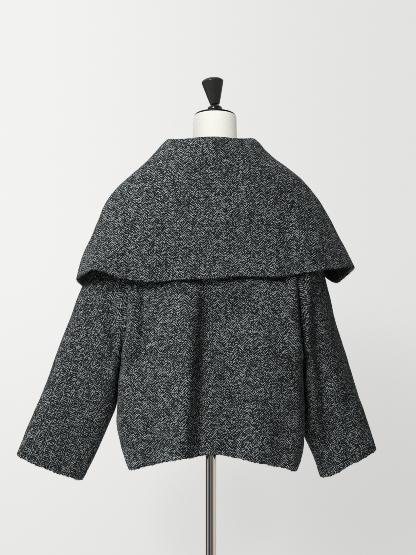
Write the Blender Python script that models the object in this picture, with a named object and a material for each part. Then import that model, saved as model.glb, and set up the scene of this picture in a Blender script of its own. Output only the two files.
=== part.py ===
"""Mantle coat on a limbless dress form.

Metres, +Z up. The origin is on the floor under the middle of the stand's foot.
The coat's back faces -Y, its front +Y, and the wearer's right hand is towards +X.
Every cloth piece is a wall: a middle surface worked out from the tables below,
given its thickness along normals that neighbouring pieces share at their seams.
"""
import math

import bmesh
import bpy
import numpy as np
from mathutils import Matrix, Vector

for thing in list(bpy.data.objects):
    bpy.data.objects.remove(thing, do_unlink=True)

# ---------------------------------------------------------------- driving sizes
CLOTH = 0.0030          # wall of the heavy tweed
LINING = 0.0012         # wall of the mantle's plain under layer
SEAM = 0.0003           # gap between two pieces at a seam
LINING_REACH = 0.75     # share of the mantle's lowest row that the under layer covers

# neckline and shoulders of the coat
NECK_HALF = 0.095       # half the neckline's width
NECK_BACK = 0.075       # neckline depth behind the shoulder line
NECK_FRONT = 0.085      # neckline depth before it
NECK_SIDE_Z = 1.356
NECK_BACK_Z = 1.362
NECK_FRONT_Z = 1.318
NECK_SHARE = 5 / 14     # share of a half panel's columns that the neckline takes
SHOULDER_HALF = 0.206   # dropped shoulder point
SHOULDER_Z = 1.284
SHOULDER_CROWN = 0.016  # rise of the shoulder seam over a straight line
YOKE_SHARE = 0.20       # share of a panel's length from shoulder to blade level
UNDERARM_Z = 0.885
FRONT_LAP = 0.030       # each front passes the centre by this much
LAP_LIFT = 0.0045       # the upper front lies this far out

# body of the coat, one row for each level from the shoulder blades to the hem
BODY_COLUMNS = ("side_z", "left", "right", "back", "back_z", "front", "front_z", "square", "round")
BODY_LEVELS = {
    "blades":   (1.195, 0.2000, 0.2060, 0.1110, 1.243, 0.128, 1.236, 2.4, 1.7),
    "chest":    (1.090, 0.1910, 0.2000, 0.1210, 1.118, 0.140, 1.108, 2.4, 1.7),
    "waist":    (0.985, 0.1955, 0.2060, 0.1300, 1.006, 0.147, 0.996, 2.4, 1.8),
    "underarm": (0.885, 0.2125, 0.2165, 0.1370, 0.905, 0.150, 0.893, 2.4, 2.0),
    "hip":      (0.800, 0.2215, 0.2195, 0.1425, 0.825, 0.152, 0.812, 2.3, 2.0),
    "full":     (0.740, 0.2230, 0.2198, 0.1440, 0.770, 0.152, 0.757, 2.2, 2.0),
    "low":      (0.690, 0.2145, 0.2180, 0.1435, 0.727, 0.150, 0.712, 2.1, 2.0),
    "turn":     (0.650, 0.2035, 0.2120, 0.1425, 0.695, 0.148, 0.677, 2.0, 2.0),
    "hem":      (0.6215, 0.1925, 0.2010, 0.1415, 0.672, 0.146, 0.654, 1.9, 2.0),
}

# how far the armhole's edges stand back and forward of the side, by the root of the
# share of height between underarm (0) and blade level (1)
ARMHOLE_COLUMNS = ("root_share", "back", "front")
ARMHOLE = {
    "underarm": (0.00, 0.000, 0.000),
    "low":      (0.57, 0.069, 0.066),
    "middle":   (0.81, 0.079, 0.076),
    "blades":   (1.00, 0.064, 0.062),
}

# the largest hanging folds of the back and fronts: troughs are negative
FOLD_COLUMNS = ("x_top", "z_top", "x_low", "z_low", "half_width", "depth")
BACK_FOLDS = {
    "centre trough": (-0.018, 1.02, -0.034, 0.66, 0.020, -0.013),
    "left ridge":    (-0.062, 1.00, -0.070, 0.66, 0.030, 0.006),
    "left trough":   (-0.152, 1.00, -0.125, 0.66, 0.022, -0.006),
    "right ridge":   (0.085, 0.98, 0.092, 0.66, 0.035, 0.005),
    "right trough":  (0.140, 1.00, 0.055, 0.66, 0.022, -0.004),
}
FRONT_FOLDS = {
    "left trough":  (-0.105, 1.00, -0.115, 0.66, 0.028, -0.008),
    "right trough": (0.110, 1.00, 0.122, 0.66, 0.028, -0.008),
}

# sleeves, one row for each section after the armhole: the section's outer and inner
# ends in the X-Z plane, its middle in Y and half its depth
SLEEVE_COLUMNS = ("along", "out_x", "out_z", "in_x", "in_z", "mid_y", "depth")
SLEEVE_LEFT = {
    "cap":     (0.14, -0.2500, 1.2020, -0.2200, 0.866, 0.000, 0.077),
    "upper":   (0.31, -0.3003, 1.0750, -0.2247, 0.826, 0.000, 0.070),
    "elbow":   (0.50, -0.3490, 0.9490, -0.2284, 0.776, 0.000, 0.062),
    "forearm": (0.68, -0.3920, 0.8340, -0.2530, 0.713, 0.000, 0.054),
    "lower":   (0.85, -0.4322, 0.7344, -0.2840, 0.644, 0.000, 0.047),
    "cuff":    (1.00, -0.4630, 0.6555, -0.3100, 0.5955, 0.000, 0.042),
}
SLEEVE_RIGHT = {
    "cap":     (0.14, 0.2440, 1.2000, 0.2226, 0.866, 0.006, 0.077),
    "upper":   (0.31, 0.2775, 1.0600, 0.2230, 0.826, 0.014, 0.068),
    "elbow":   (0.50, 0.3073, 0.9470, 0.2228, 0.776, 0.024, 0.060),
    "forearm": (0.68, 0.3446, 0.8325, 0.2222, 0.712, 0.034, 0.052),
    "lower":   (0.85, 0.3785, 0.7300, 0.2505, 0.645, 0.044, 0.046),
    "cuff":    (1.00, 0.4008, 0.6616, 0.2682, 0.5956, 0.050, 0.041),
}
SLEEVE_ROOT = 0.006     # first step of the sleeve straight out of the armhole

# mantle collar, one row for each line from the neck seam over the fold to the hem
MANTLE_COLUMNS = ("along", "back", "back_z", "left", "left_z", "right", "right_z",
                  "front", "left_end_z", "right_end_z", "end_angle", "square")
MANTLE_ROWS = {
    "seam":     (0.00, 0.0770, 1.3655, 0.0965, 1.3615, 0.0975, 1.3615, 0.0880, 1.3285, 1.3285, 86.0, 2.00),
    "stand":    (0.07, 0.0860, 1.3890, 0.1010, 1.3845, 0.1060, 1.3855, 0.0960, 1.3480, 1.3480, 86.0, 2.00),
    "fold":     (0.13, 0.0930, 1.4070, 0.1075, 1.4060, 0.1130, 1.4075, 0.1040, 1.3680, 1.3680, 85.0, 2.00),
    "roll":     (0.17, 0.0990, 1.3970, 0.1190, 1.3960, 0.1237, 1.3985, 0.1110, 1.3530, 1.3540, 80.0, 2.00),
    "collar":   (0.22, 0.1050, 1.3785, 0.1340, 1.3777, 0.1370, 1.3805, 0.1180, 1.3350, 1.3370, 73.4, 2.05),
    "drop":     (0.28, 0.1100, 1.3555, 0.1535, 1.3565, 0.1565, 1.3615, 0.1270, 1.3130, 1.3160, 67.0, 2.10),
    "cap":      (0.37, 0.1160, 1.3215, 0.1862, 1.3290, 0.1902, 1.3373, 0.1425, 1.2800, 1.2850, 60.5, 2.15),
    "shoulder": (0.47, 0.1210, 1.2830, 0.2203, 1.2967, 0.2247, 1.3080, 0.1580, 1.2430, 1.2500, 55.5, 2.20),
    "blades":   (0.58, 0.1258, 1.2410, 0.2517, 1.2555, 0.2550, 1.2687, 0.1710, 1.2030, 1.2120, 50.0, 2.25),
    "upper":    (0.69, 0.1300, 1.1985, 0.2727, 1.2085, 0.2801, 1.2252, 0.1830, 1.1620, 1.1740, 43.4, 2.30),
    "lower":    (0.80, 0.1338, 1.1560, 0.2909, 1.1597, 0.3039, 1.1813, 0.1960, 1.1110, 1.1310, 38.6, 2.30),
    "skirt":    (0.91, 0.1373, 1.1130, 0.3082, 1.1103, 0.3286, 1.1375, 0.2080, 1.0655, 1.0905, 34.0, 2.30),
    "hem":      (1.00, 0.1405, 1.0770, 0.3213, 1.0705, 0.3455, 1.1016, 0.2200, 1.0285, 1.0570, 30.2, 2.30),
}
MANTLE_SIDE = 0.62      # share of a half row from centre back to the side
NECK_BOW = 0.0065       # dip of the fold between the nape and the neck's side
# rises and dips of the mantle's hem, by place across and half width
HEM_WAVE_COLUMNS = ("x", "half_width", "rise")
HEM_WAVES = {
    "left lift":  (-0.262, 0.036, 0.0165),
    "left dip":   (-0.138, 0.040, -0.0060),
    "mid lift":   (0.070, 0.040, 0.0030),
    "right dip":  (0.160, 0.045, -0.0045),
}
CORNER_SHARE = (0.07, 0.09)   # rounding of the front corners, across and along

# dress form, one row for each level
FORM_COLUMNS = ("z", "half", "back", "front", "square")
FORM_LEVELS = {
    "rim":        (0.7000, 0.1460, 0.0950, 0.0960, 2.2),
    "bottom":     (0.7120, 0.1600, 0.1060, 0.1060, 2.2),
    "hip":        (0.8100, 0.1660, 0.1120, 0.1120, 2.2),
    "high hip":   (0.9100, 0.1520, 0.0980, 0.1080, 2.2),
    "waist":      (1.0200, 0.1210, 0.0780, 0.0920, 2.1),
    "ribs":       (1.1200, 0.1350, 0.0890, 0.1090, 2.2),
    "chest":      (1.2000, 0.1520, 0.0985, 0.1210, 2.2),
    "blades":     (1.2600, 0.1650, 0.0985, 0.1080, 2.2),
    "arm plate":  (1.2900, 0.1670, 0.0900, 0.0900, 2.2),
    "tip":        (1.3100, 0.1620, 0.0760, 0.0740, 2.2),
    "slope":      (1.3280, 0.1400, 0.0600, 0.0580, 2.1),
    "shoulder":   (1.3400, 0.1150, 0.0500, 0.0500, 2.0),
    "neck root":  (1.3510, 0.0850, 0.0480, 0.0500, 2.0),
    "neck base":  (1.3700, 0.0640, 0.0475, 0.0540, 2.0),
    "neck":       (1.4000, 0.0540, 0.0465, 0.0560, 2.0),
    "neck top":   (1.4650, 0.0514, 0.0460, 0.0560, 2.0),
}
NECK_SHIFT = 0.0096     # sideways lean of the form at the neck top
NECK_TILT = math.radians(12.5)   # the neck's top slopes down to the front
CAP_HALF = 0.0498
CAP_RISE = 0.0070
BEAD_HALF = 0.0178
BEAD_HIGH = 0.0255
FINIAL_FOOT = 0.0118
FINIAL_TOP = 0.0264
FINIAL_HIGH = 0.0562
FINIAL_DOME = 0.0110
FINIAL_LEAN = math.radians(6)
POLE_R = 0.0127
BASE_R = 0.170
BASE_EDGE = 0.006
BASE_RISE = 0.012

# numbers of steps
BACK_COLUMNS = 28
FRONT_COLUMNS = 14
ARM_ROWS = 10
SIDE_ROWS = 7
MANTLE_U = 32
MANTLE_V = (0.0, 0.07, 0.115, 0.13, 0.145, 0.17, 0.22, 0.28, 0.37, 0.47, 0.58, 0.69, 0.80, 0.91, 1.0)
SLEEVE_STEPS = (0.0, 0.035, 0.09, 0.17, 0.27, 0.38, 0.50, 0.62, 0.74, 0.87, 1.0)
FORM_STEPS = 32


# ---------------------------------------------------------------- curves through tables
def column(table, columns, name):
    place = columns.index(name)
    return np.array([row[place] for row in table.values()], float)


def through(knots, values, at):
    """A smooth line through a table's rows that makes no humps of its own."""
    knots, values = np.asarray(knots, float), np.asarray(values, float)
    at = np.clip(np.asarray(at, float), knots[0], knots[-1])
    step = np.diff(knots)
    rise = np.diff(values) / step
    slope = np.zeros(len(knots))
    slope[0], slope[-1] = rise[0], rise[-1]
    for i in range(1, len(knots) - 1):
        if rise[i - 1] * rise[i] > 0:
            a, b = 2 * step[i] + step[i - 1], step[i] + 2 * step[i - 1]
            slope[i] = (a + b) / (a / rise[i - 1] + b / rise[i])
    k = np.clip(np.searchsorted(knots, at, side="right") - 1, 0, len(step) - 1)
    h = step[k]
    s = (at - knots[k]) / h
    return ((1 + 2 * s) * (1 - s) ** 2 * values[k] + s * (1 - s) ** 2 * h * slope[k]
            + s * s * (3 - 2 * s) * values[k + 1] + s * s * (s - 1) * h * slope[k + 1])


def ease(t):
    t = np.clip(t, 0, 1)
    return t * t * (3 - 2 * t)


def spow(v, e):
    return np.sign(v) * np.abs(v) ** e


# ---------------------------------------------------------------- body panels
def body(name, z):
    knots = -column(BODY_LEVELS, BODY_COLUMNS, "side_z")
    return through(knots, column(BODY_LEVELS, BODY_COLUMNS, name), -np.asarray(z))


def armhole(name, z):
    top = BODY_LEVELS["blades"][0]
    share = np.clip((np.asarray(z) - UNDERARM_Z) / (top - UNDERARM_Z), 0, 1)
    return through(column(ARMHOLE, ARMHOLE_COLUMNS, "root_share"),
                   column(ARMHOLE, ARMHOLE_COLUMNS, name), np.sqrt(share))


def top_line(c, facing):
    """Shoulder seams and neckline, across a panel from c = -1 (left) to 1 (right)."""
    side, k = np.sign(c), np.abs(c)
    turn = np.clip(k / NECK_SHARE, 0, 1) * math.pi / 2
    deep = -NECK_BACK if facing == "back" else NECK_FRONT
    middle_z = NECK_BACK_Z if facing == "back" else NECK_FRONT_Z
    t = np.clip((k - NECK_SHARE) / (1 - NECK_SHARE), 0, 1)
    x = side * (NECK_HALF * np.sin(turn) + (SHOULDER_HALF - NECK_HALF) * t)
    y = deep * np.cos(turn)
    z = (NECK_SIDE_Z + (middle_z - NECK_SIDE_Z) * np.cos(turn) ** 2
         + (SHOULDER_Z - NECK_SIDE_Z) * t + SHOULDER_CROWN * 4 * t * (1 - t))
    return np.stack([x, y, z], -1)


def level_line(c, z, facing):
    """One level below the blades, from side edge to side edge."""
    s = np.sin(c * math.pi / 2)
    half = np.where(c < 0, body("left", z), body("right", z))
    sign = -1.0 if facing == "back" else 1.0
    edge, deep, low = armhole(facing, z), body(facing, z), body(facing + "_z", z)
    full = np.clip(1 - np.abs(s) ** body("square", z), 0, 1) ** (1 / body("round", z))
    y = sign * (edge + (deep - edge) * full)
    return np.stack([half * s, y, low + (z - low) * s * s], -1)


def folds(x, z, table):
    """Depth of the hanging folds at a place on a panel."""
    total = np.zeros(np.broadcast(x, z).shape)
    for x_top, z_top, x_low, z_low, half, depth in table.values():
        t = (z_top - z) / (z_top - z_low)
        middle = x_top + (x_low - x_top) * np.clip(t, 0, 1.2)
        total = total + depth * ease(t / 0.45) * np.exp(-((x - middle) / half) ** 2)
    return total


def panel(c, q, facing):
    """A point of a body panel: c across, q from the shoulder line (0) to the hem (1)."""
    c, q = np.broadcast_arrays(np.asarray(c, float), np.asarray(q, float))
    first = BODY_LEVELS["blades"][0]
    last = BODY_LEVELS["hem"][0]
    z = first + (last - first) * np.clip((q - YOKE_SHARE) / (1 - YOKE_SHARE), 0, 1)
    at = level_line(c, z, facing)
    top = top_line(c, facing)
    u = np.clip(q / YOKE_SHARE, 0, 1)
    bow = 0.35 + 0.65 * ease(np.abs(c) / 0.55)
    at[..., 0] = top[..., 0] + (at[..., 0] - top[..., 0]) * u
    at[..., 1] = top[..., 1] + (at[..., 1] - top[..., 1]) * (
        u + bow * (np.sin(u * math.pi / 2) - u))
    at[..., 2] = top[..., 2] + (at[..., 2] - top[..., 2]) * (
        u + bow * (1 - np.cos(u * math.pi / 2) - u))
    table = BACK_FOLDS if facing == "back" else FRONT_FOLDS
    out = -1.0 if facing == "back" else 1.0
    inner = ease((1 - np.abs(c)) / 0.25)
    at[..., 1] += out * inner * folds(at[..., 0], at[..., 2], table)
    return at


UNDERARM_Q = YOKE_SHARE + (1 - YOKE_SHARE) * (
    (BODY_LEVELS["blades"][0] - UNDERARM_Z)
    / (BODY_LEVELS["blades"][0] - BODY_LEVELS["hem"][0]))


def arm_q(t):
    """Place down a panel's edge, from the shoulder point (t = 0) to the underarm (1)."""
    return UNDERARM_Q * np.asarray(t, float) ** 1.3


PANEL_Q = np.concatenate([
    arm_q(np.arange(ARM_ROWS + 1) / ARM_ROWS),
    UNDERARM_Q + (1 - UNDERARM_Q) * np.arange(1, SIDE_ROWS + 1) / SIDE_ROWS])


def back_grid():
    c = np.linspace(-1, 1, BACK_COLUMNS + 1)
    return panel(c[None, :], PANEL_Q[:, None], "back")


def front_grid(side):
    """From the side edge past the centre; the right front lies over the left one."""
    c = np.linspace(1, 0, FRONT_COLUMNS + 1)
    past = -(2 / math.pi) * math.asin(FRONT_LAP / SHOULDER_HALF)
    c = np.concatenate([c, [past * 0.5, past]])
    at = panel(side * c[None, :], PANEL_Q[:, None], "front")
    if side > 0:
        lift = LAP_LIFT * ease((0.085 - at[..., 0]) / 0.040)
        at = at + normals_of(at, False) * lift[..., None]
    return at


# ---------------------------------------------------------------- sleeves
def sleeve(a, w, side):
    """A point of a sleeve: a around (0 outer edge, 0.25 back, 0.5 inner), w along."""
    a, w = np.broadcast_arrays(np.asarray(a, float), np.asarray(w, float))
    table = SLEEVE_RIGHT if side > 0 else SLEEVE_LEFT
    t = np.where(a <= 0.5, a * 2, 2 - a * 2)
    loop = np.where((a <= 0.5)[..., None],
                    panel(np.full(a.shape, float(side)), arm_q(t), "back"),
                    panel(np.full(a.shape, float(side)), arm_q(t), "front"))
    rings, places = [loop], [0.0]
    straight = np.array([side * 0.98, 0.0, -0.2])
    rings.append(loop + SLEEVE_ROOT * straight)
    places.append(0.035)
    turn = a * 2 * math.pi
    for along, out_x, out_z, in_x, in_z, mid_y, depth in table.values():
        across = spow(np.cos(turn), 0.92)
        deep = spow(np.sin(turn), 0.92)
        rings.append(np.stack([
            (out_x + in_x) / 2 + (out_x - in_x) / 2 * across,
            mid_y - depth * deep,
            (out_z + in_z) / 2 + (out_z - in_z) / 2 * across], -1))
        places.append(along)
    return between(rings, places, w)


def between(rings, places, w):
    """Runs smoothly from ring to ring."""
    places = np.array(places)
    rings = np.stack(rings)
    slope = np.zeros_like(rings)
    slope[0] = (rings[1] - rings[0]) / (places[1] - places[0])
    slope[-1] = (rings[-1] - rings[-2]) / (places[-1] - places[-2])
    for i in range(1, len(places) - 1):
        slope[i] = (rings[i + 1] - rings[i - 1]) / (places[i + 1] - places[i - 1])
    k = np.clip(np.searchsorted(places, w, side="right") - 1, 0, len(places) - 2)
    h = (places[k + 1] - places[k])[..., None]
    s = ((w - places[k]) / (places[k + 1] - places[k]))[..., None]
    pick = np.indices(k.shape)
    at = lambda what, n: what[(n, *pick)]
    return ((1 + 2 * s) * (1 - s) ** 2 * at(rings, k) + s * (1 - s) ** 2 * h * at(slope, k)
            + s * s * (3 - 2 * s) * at(rings, k + 1) + s * s * (s - 1) * h * at(slope, k + 1))


def sleeve_grid(side):
    a = np.arange(2 * ARM_ROWS) / (2 * ARM_ROWS)
    return sleeve(a[None, :], np.array(SLEEVE_STEPS)[:, None], side)


# ---------------------------------------------------------------- mantle
def spline_weights(knots, at):
    """Weights of the knots in a natural cubic line through them."""
    n = len(knots)
    h = np.diff(knots)
    system, right = np.eye(n), np.zeros((n, n))
    for i in range(1, n - 1):
        system[i, i - 1:i + 2] = h[i - 1], 2 * (h[i - 1] + h[i]), h[i]
        right[i, i - 1:i + 2] = 6 / h[i - 1], -6 / h[i - 1] - 6 / h[i], 6 / h[i]
    bend = np.linalg.solve(system, right)
    k = np.clip(np.searchsorted(knots, at, side="right") - 1, 0, n - 2)
    hk, unit = h[k][..., None], np.eye(n)
    left, rest = (at - knots[k])[..., None], (knots[k + 1] - at)[..., None]
    return (bend[k] * rest ** 3 / (6 * hk) + bend[k + 1] * left ** 3 / (6 * hk)
            + (unit[k] / hk - bend[k] * hk / 6) * rest
            + (unit[k + 1] / hk - bend[k + 1] * hk / 6) * left)


def mantle(u, v):
    """A point of the mantle: u from the left front edge (-1) by the back (0) to the
    right front edge (1), v from the neck seam (0) over the fold to the hem (1)."""
    u, v = np.broadcast_arrays(np.asarray(u, float), np.asarray(v, float))
    over = np.clip((np.abs(u) - (1 - CORNER_SHARE[0])) / CORNER_SHARE[0], 0, 1)
    v = v * (1 - CORNER_SHARE[1] * ease((v - 0.6) / 0.4) * (1 - np.sqrt(1 - over ** 2)))
    get = lambda name: through(column(MANTLE_ROWS, MANTLE_COLUMNS, "along"),
                               column(MANTLE_ROWS, MANTLE_COLUMNS, name), v)
    half = np.where(u < 0, get("left"), get("right"))
    square = 2 / get("square")
    theta = np.clip(np.abs(u) / MANTLE_SIDE, 0, 1) * math.pi / 2
    eta = (np.clip((np.abs(u) - MANTLE_SIDE) / (1 - MANTLE_SIDE), 0, 1)
           * np.radians(get("end_angle")))
    x = np.sign(u) * half * np.where(eta > 0, np.cos(eta), np.sin(theta)) ** square
    y = np.where(eta > 0, get("front") * np.sin(eta) ** square,
                 -get("back") * np.cos(theta) ** square)
    weights = spline_weights(np.array([-1, -MANTLE_SIDE, 0, MANTLE_SIDE, 1]), u)
    names = ("left_end_z", "left_z", "back_z", "right_z", "right_end_z")
    z = sum(weights[..., i] * get(name) for i, name in enumerate(names))
    z = z - NECK_BOW * ease(1 - np.abs(v - 0.13) / 0.13) * np.sin(2 * theta) ** 2
    for place, wide, rise in HEM_WAVES.values():
        behind = ease((0.03 - y) / 0.06)
        z = z + rise * ease((v - 0.70) / 0.30) * behind * np.exp(-((x - place) / wide) ** 2)
    at = np.stack([x, y, z], -1)
    meet = ease(1 - v / 0.07)[..., None]
    return at + (neck_seam(np.sign(u), theta, eta) - at) * meet


def neck_seam(side, theta, eta):
    """The line just above the neckline where the mantle's stand is sewn on."""
    turn = np.where(eta > 0, math.pi / 2 - eta, theta)
    deep = np.where(eta > 0, NECK_FRONT, -NECK_BACK)
    middle_z = np.where(eta > 0, NECK_FRONT_Z, NECK_BACK_Z)
    above = CLOTH * 0.78 + SEAM + 0.8 * LAP_LIFT * ease((eta - 0.4) / 0.5)
    z = NECK_SIDE_Z + (middle_z - NECK_SIDE_Z) * np.cos(turn) ** 2 + above
    return np.stack([side * NECK_HALF * np.sin(turn), deep * np.cos(turn), z], -1)


def mantle_grid():
    near = 1 - CORNER_SHARE[0]
    edge = 1 - CORNER_SHARE[0] * np.array([0.50, 0.21, 0.0])
    u = np.concatenate([-edge[::-1], np.linspace(-near, near, MANTLE_U + 1), edge])
    return mantle(u[None, :], np.array(MANTLE_V)[:, None])


def lining_of(grid, normal):
    """The part of the mantle's fall that the under layer covers, inside its edges."""
    first = MANTLE_V.index(0.22)
    near = lambda rows: np.concatenate([
        rows[first:-1], (rows[-2] * (1 - LINING_REACH) + rows[-1] * LINING_REACH)[None]])
    under, out = near(grid)[:, 1:-1], near(normal)[:, 1:-1]
    return under, out / np.linalg.norm(out, axis=-1, keepdims=True)


# ---------------------------------------------------------------- walls
def normals_of(grid, ring):
    """Unit normals of a grid of points; ring says that its rows close on themselves."""
    if ring:
        across = np.roll(grid, -1, 1) - np.roll(grid, 1, 1)
    else:
        across = np.gradient(grid, axis=1)
    along = np.gradient(grid, axis=0)
    n = np.cross(along, across)
    return n / np.linalg.norm(n, axis=-1, keepdims=True)


def share_at_seams(pieces):
    """Pieces that meet at a point take the mean of their normals there."""
    pool = {}
    for grid, normal in pieces:
        for p, n in zip(grid.reshape(-1, 3), normal.reshape(-1, 3)):
            key = tuple(np.round(p, 5))
            pool[key] = pool.get(key, 0) + n
    for grid, normal in pieces:
        flat = normal.reshape(-1, 3)
        for i, p in enumerate(grid.reshape(-1, 3)):
            n = pool[tuple(np.round(p, 5))]
            flat[i] = n / np.linalg.norm(n)


def draw_back(grid, ring):
    """Moves the edges in: a panel's by half a seam gap, a sleeve's by a whole one."""
    out = grid.copy()

    def step(edge, inner):
        d = inner - edge
        return d / np.linalg.norm(d, axis=-1, keepdims=True) * SEAM * (1.0 if ring else 0.5)

    out[0] += step(grid[0], grid[1])
    out[-1] += step(grid[-1], grid[-2])
    if not ring:
        out[:, 0] += step(grid[:, 0], grid[:, 1])
        out[:, -1] += step(grid[:, -1], grid[:, -2])
    return out


def wall(name, grid, normal, low, high, ring, colour, rough):
    """A closed wall from low to high along the normals of a grid."""
    rows, cols = grid.shape[:2]
    points = np.concatenate([(grid + normal * high).reshape(-1, 3),
                             (grid + normal * low).reshape(-1, 3)])
    one = rows * cols
    index = lambda r, c: r * cols + c % cols
    faces = []
    for r in range(rows - 1):
        for c in range(cols if ring else cols - 1):
            quad = (index(r, c), index(r + 1, c), index(r + 1, c + 1), index(r, c + 1))
            faces.append(quad)
            faces.append(tuple(one + i for i in reversed(quad)))
    rim = []
    if ring:
        rim.append([index(0, c) for c in range(cols, -1, -1)])
        rim.append([index(rows - 1, c) for c in range(cols + 1)])
    else:
        rim.append([index(0, c) for c in range(cols - 1, -1, -1)]
                   + [index(r, 0) for r in range(1, rows)]
                   + [index(rows - 1, c) for c in range(1, cols)]
                   + [index(r, cols - 1) for r in range(rows - 2, -1, -1)])
    for path in rim:
        for a, b in zip(path[:-1], path[1:]):
            faces.append((b, a, one + a, one + b))
    mesh = bpy.data.meshes.new(name)
    mesh.from_pydata([tuple(p) for p in points], [], faces)
    return placed(name, mesh, colour, rough, 0.0)


def placed(name, mesh, colour, rough, metal):
    mesh.validate()
    shaped = bmesh.new()
    shaped.from_mesh(mesh)
    bmesh.ops.recalc_face_normals(shaped, faces=shaped.faces)
    bmesh.ops.triangulate(shaped, faces=shaped.faces)
    shaped.to_mesh(mesh)
    shaped.free()
    mesh.shade_smooth()
    mesh.set_sharp_from_angle(angle=math.radians(50))
    ob = bpy.data.objects.new(name, mesh)
    bpy.context.scene.collection.objects.link(ob)
    look = bpy.data.materials.new(name)
    look.use_nodes = True
    shader = look.node_tree.nodes["Principled BSDF"]
    shader.inputs["Base Color"].default_value = (*colour, 1)
    shader.inputs["Roughness"].default_value = rough
    shader.inputs["Metallic"].default_value = metal
    mesh.materials.append(look)
    return ob


def turned(name, profile, steps, colour, rough, metal, matrix):
    """A turned piece from its profile of (radius, height), foot to top, on the axis."""
    shaped = bmesh.new()
    rings = []
    for radius, height in profile:
        rings.append([shaped.verts.new((radius * math.cos(k * 2 * math.pi / steps),
                                        radius * math.sin(k * 2 * math.pi / steps), height))
                      for k in range(steps)])
    for lower, upper in zip(rings[:-1], rings[1:]):
        for k in range(steps):
            n = (k + 1) % steps
            shaped.faces.new((lower[k], lower[n], upper[n], upper[k]))
    shaped.faces.new(list(reversed(rings[0])))
    shaped.faces.new(rings[-1])
    mesh = bpy.data.meshes.new(name)
    shaped.to_mesh(mesh)
    shaped.free()
    ob = placed(name, mesh, colour, rough, metal)
    ob.matrix_world = matrix
    return ob


# ---------------------------------------------------------------- dress form
def form_lean(z):
    return NECK_SHIFT * (z - 0.70) / (1.465 - 0.70)


def form_torso():
    level = lambda name: column(FORM_LEVELS, FORM_COLUMNS, name)
    knots = level("z")
    at = np.unique(np.round(np.concatenate([knots, np.linspace(0.76, 1.24, 7), [1.43]]), 4))
    turn = np.arange(FORM_STEPS) * 2 * math.pi / FORM_STEPS
    rings = []
    for z in at:
        half, back, front, square = (float(through(knots, level(n), z))
                                     for n in ("half", "back", "front", "square"))
        x = half * spow(np.cos(turn), 2 / square)
        y = spow(np.sin(turn), 2 / square)
        y = np.where(y < 0, back * y, front * y)
        tip = ease((z - 1.40) / 0.06) * math.tan(NECK_TILT)
        rings.append(np.stack([x + form_lean(z), y, z - y * tip], -1))
    mesh = bpy.data.meshes.new("form_torso")
    points = [tuple(p) for ring in rings for p in ring]
    faces = []
    for r in range(len(rings) - 1):
        for c in range(FORM_STEPS):
            n = (c + 1) % FORM_STEPS
            faces.append((r * FORM_STEPS + c, r * FORM_STEPS + n,
                          (r + 1) * FORM_STEPS + n, (r + 1) * FORM_STEPS + c))
    faces.append(tuple(reversed(range(FORM_STEPS))))
    faces.append(tuple((len(rings) - 1) * FORM_STEPS + c for c in range(FORM_STEPS)))
    mesh.from_pydata(points, [], faces)
    placed("form_torso", mesh, (0.86, 0.85, 0.80), 0.8, 0.0)


def form_top():
    top = FORM_LEVELS["neck top"]
    middle_y = (top[3] - top[2]) / 2
    foot = Vector((NECK_SHIFT, middle_y, top[0] - middle_y * math.tan(NECK_TILT)))
    tilt = Matrix.Rotation(-NECK_TILT, 4, "X")
    lid = Matrix.Translation(foot) @ tilt
    cap = [(CAP_HALF - 0.0012, SEAM), (CAP_HALF, 0.0015), (CAP_HALF, 0.0042), (CAP_HALF - 0.0006, 0.0052)]
    cap += [((CAP_HALF - 0.0008) * math.cos(k * math.pi / 12),
             0.0054 + (CAP_RISE - 0.0054) * math.sin(k * math.pi / 12)) for k in range(1, 5)]
    cap += [(0.006, CAP_RISE)]
    turned("form_cap", cap, 32, (0.015, 0.015, 0.016), 0.35, 0.0, lid)
    bead = [(BEAD_HALF * math.cos(k * math.pi / 16),
             BEAD_HIGH * (0.56 if k < 0 else 0.44) * math.sin(k * math.pi / 16)) for k in range(-7, 8)]
    low = bead[0][1]
    bead = [(r, h - low + CAP_RISE + SEAM) for r, h in bead]
    turned("form_bead", bead, 28, (0.012, 0.012, 0.013), 0.12, 0.0, lid)
    start = lid @ Vector((0, 0, bead[-1][1] + SEAM))
    lean = (Matrix.Translation(start) @ Matrix.Rotation(-FINIAL_LEAN, 4, "Y")
            @ Matrix.Rotation(-NECK_TILT * 0.5, 4, "X"))
    knob = [(FINIAL_FOOT - 0.0015, 0.0008), (FINIAL_FOOT, 0.003)]
    knob += [(FINIAL_FOOT + (FINIAL_TOP - FINIAL_FOOT) * (k / 6) ** 0.95,
              0.003 + (FINIAL_HIGH - 0.003) * k / 6) for k in range(1, 7)]
    knob += [(FINIAL_TOP * math.cos(k * math.pi / 12),
              FINIAL_HIGH + FINIAL_DOME * math.sin(k * math.pi / 12)) for k in range(1, 6)]
    knob += [(0.003, FINIAL_HIGH + FINIAL_DOME)]
    turned("form_finial", knob, 32, (0.02, 0.02, 0.02), 0.3, 0.0, lean)


def stand():
    base = [(BASE_R - 0.002, 0.0), (BASE_R, 0.002), (BASE_R, BASE_EDGE)]
    base += [(BASE_R * math.cos(k * math.pi / 16) ** 0.5 * (1 - k / 40),
              BASE_EDGE + (BASE_RISE - BASE_EDGE) * math.sin(k * math.pi / 16)) for k in range(1, 8)]
    base += [(0.03, BASE_RISE)]
    turned("stand_base", base, 48, (0.75, 0.75, 0.76), 0.2, 1.0, Matrix.Identity(4))
    pole = [(POLE_R, BASE_RISE + SEAM), (POLE_R, FORM_LEVELS["rim"][0] - SEAM)]
    turned("stand_pole", pole, 32, (0.78, 0.78, 0.79), 0.08, 1.0, Matrix.Identity(4))


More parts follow.
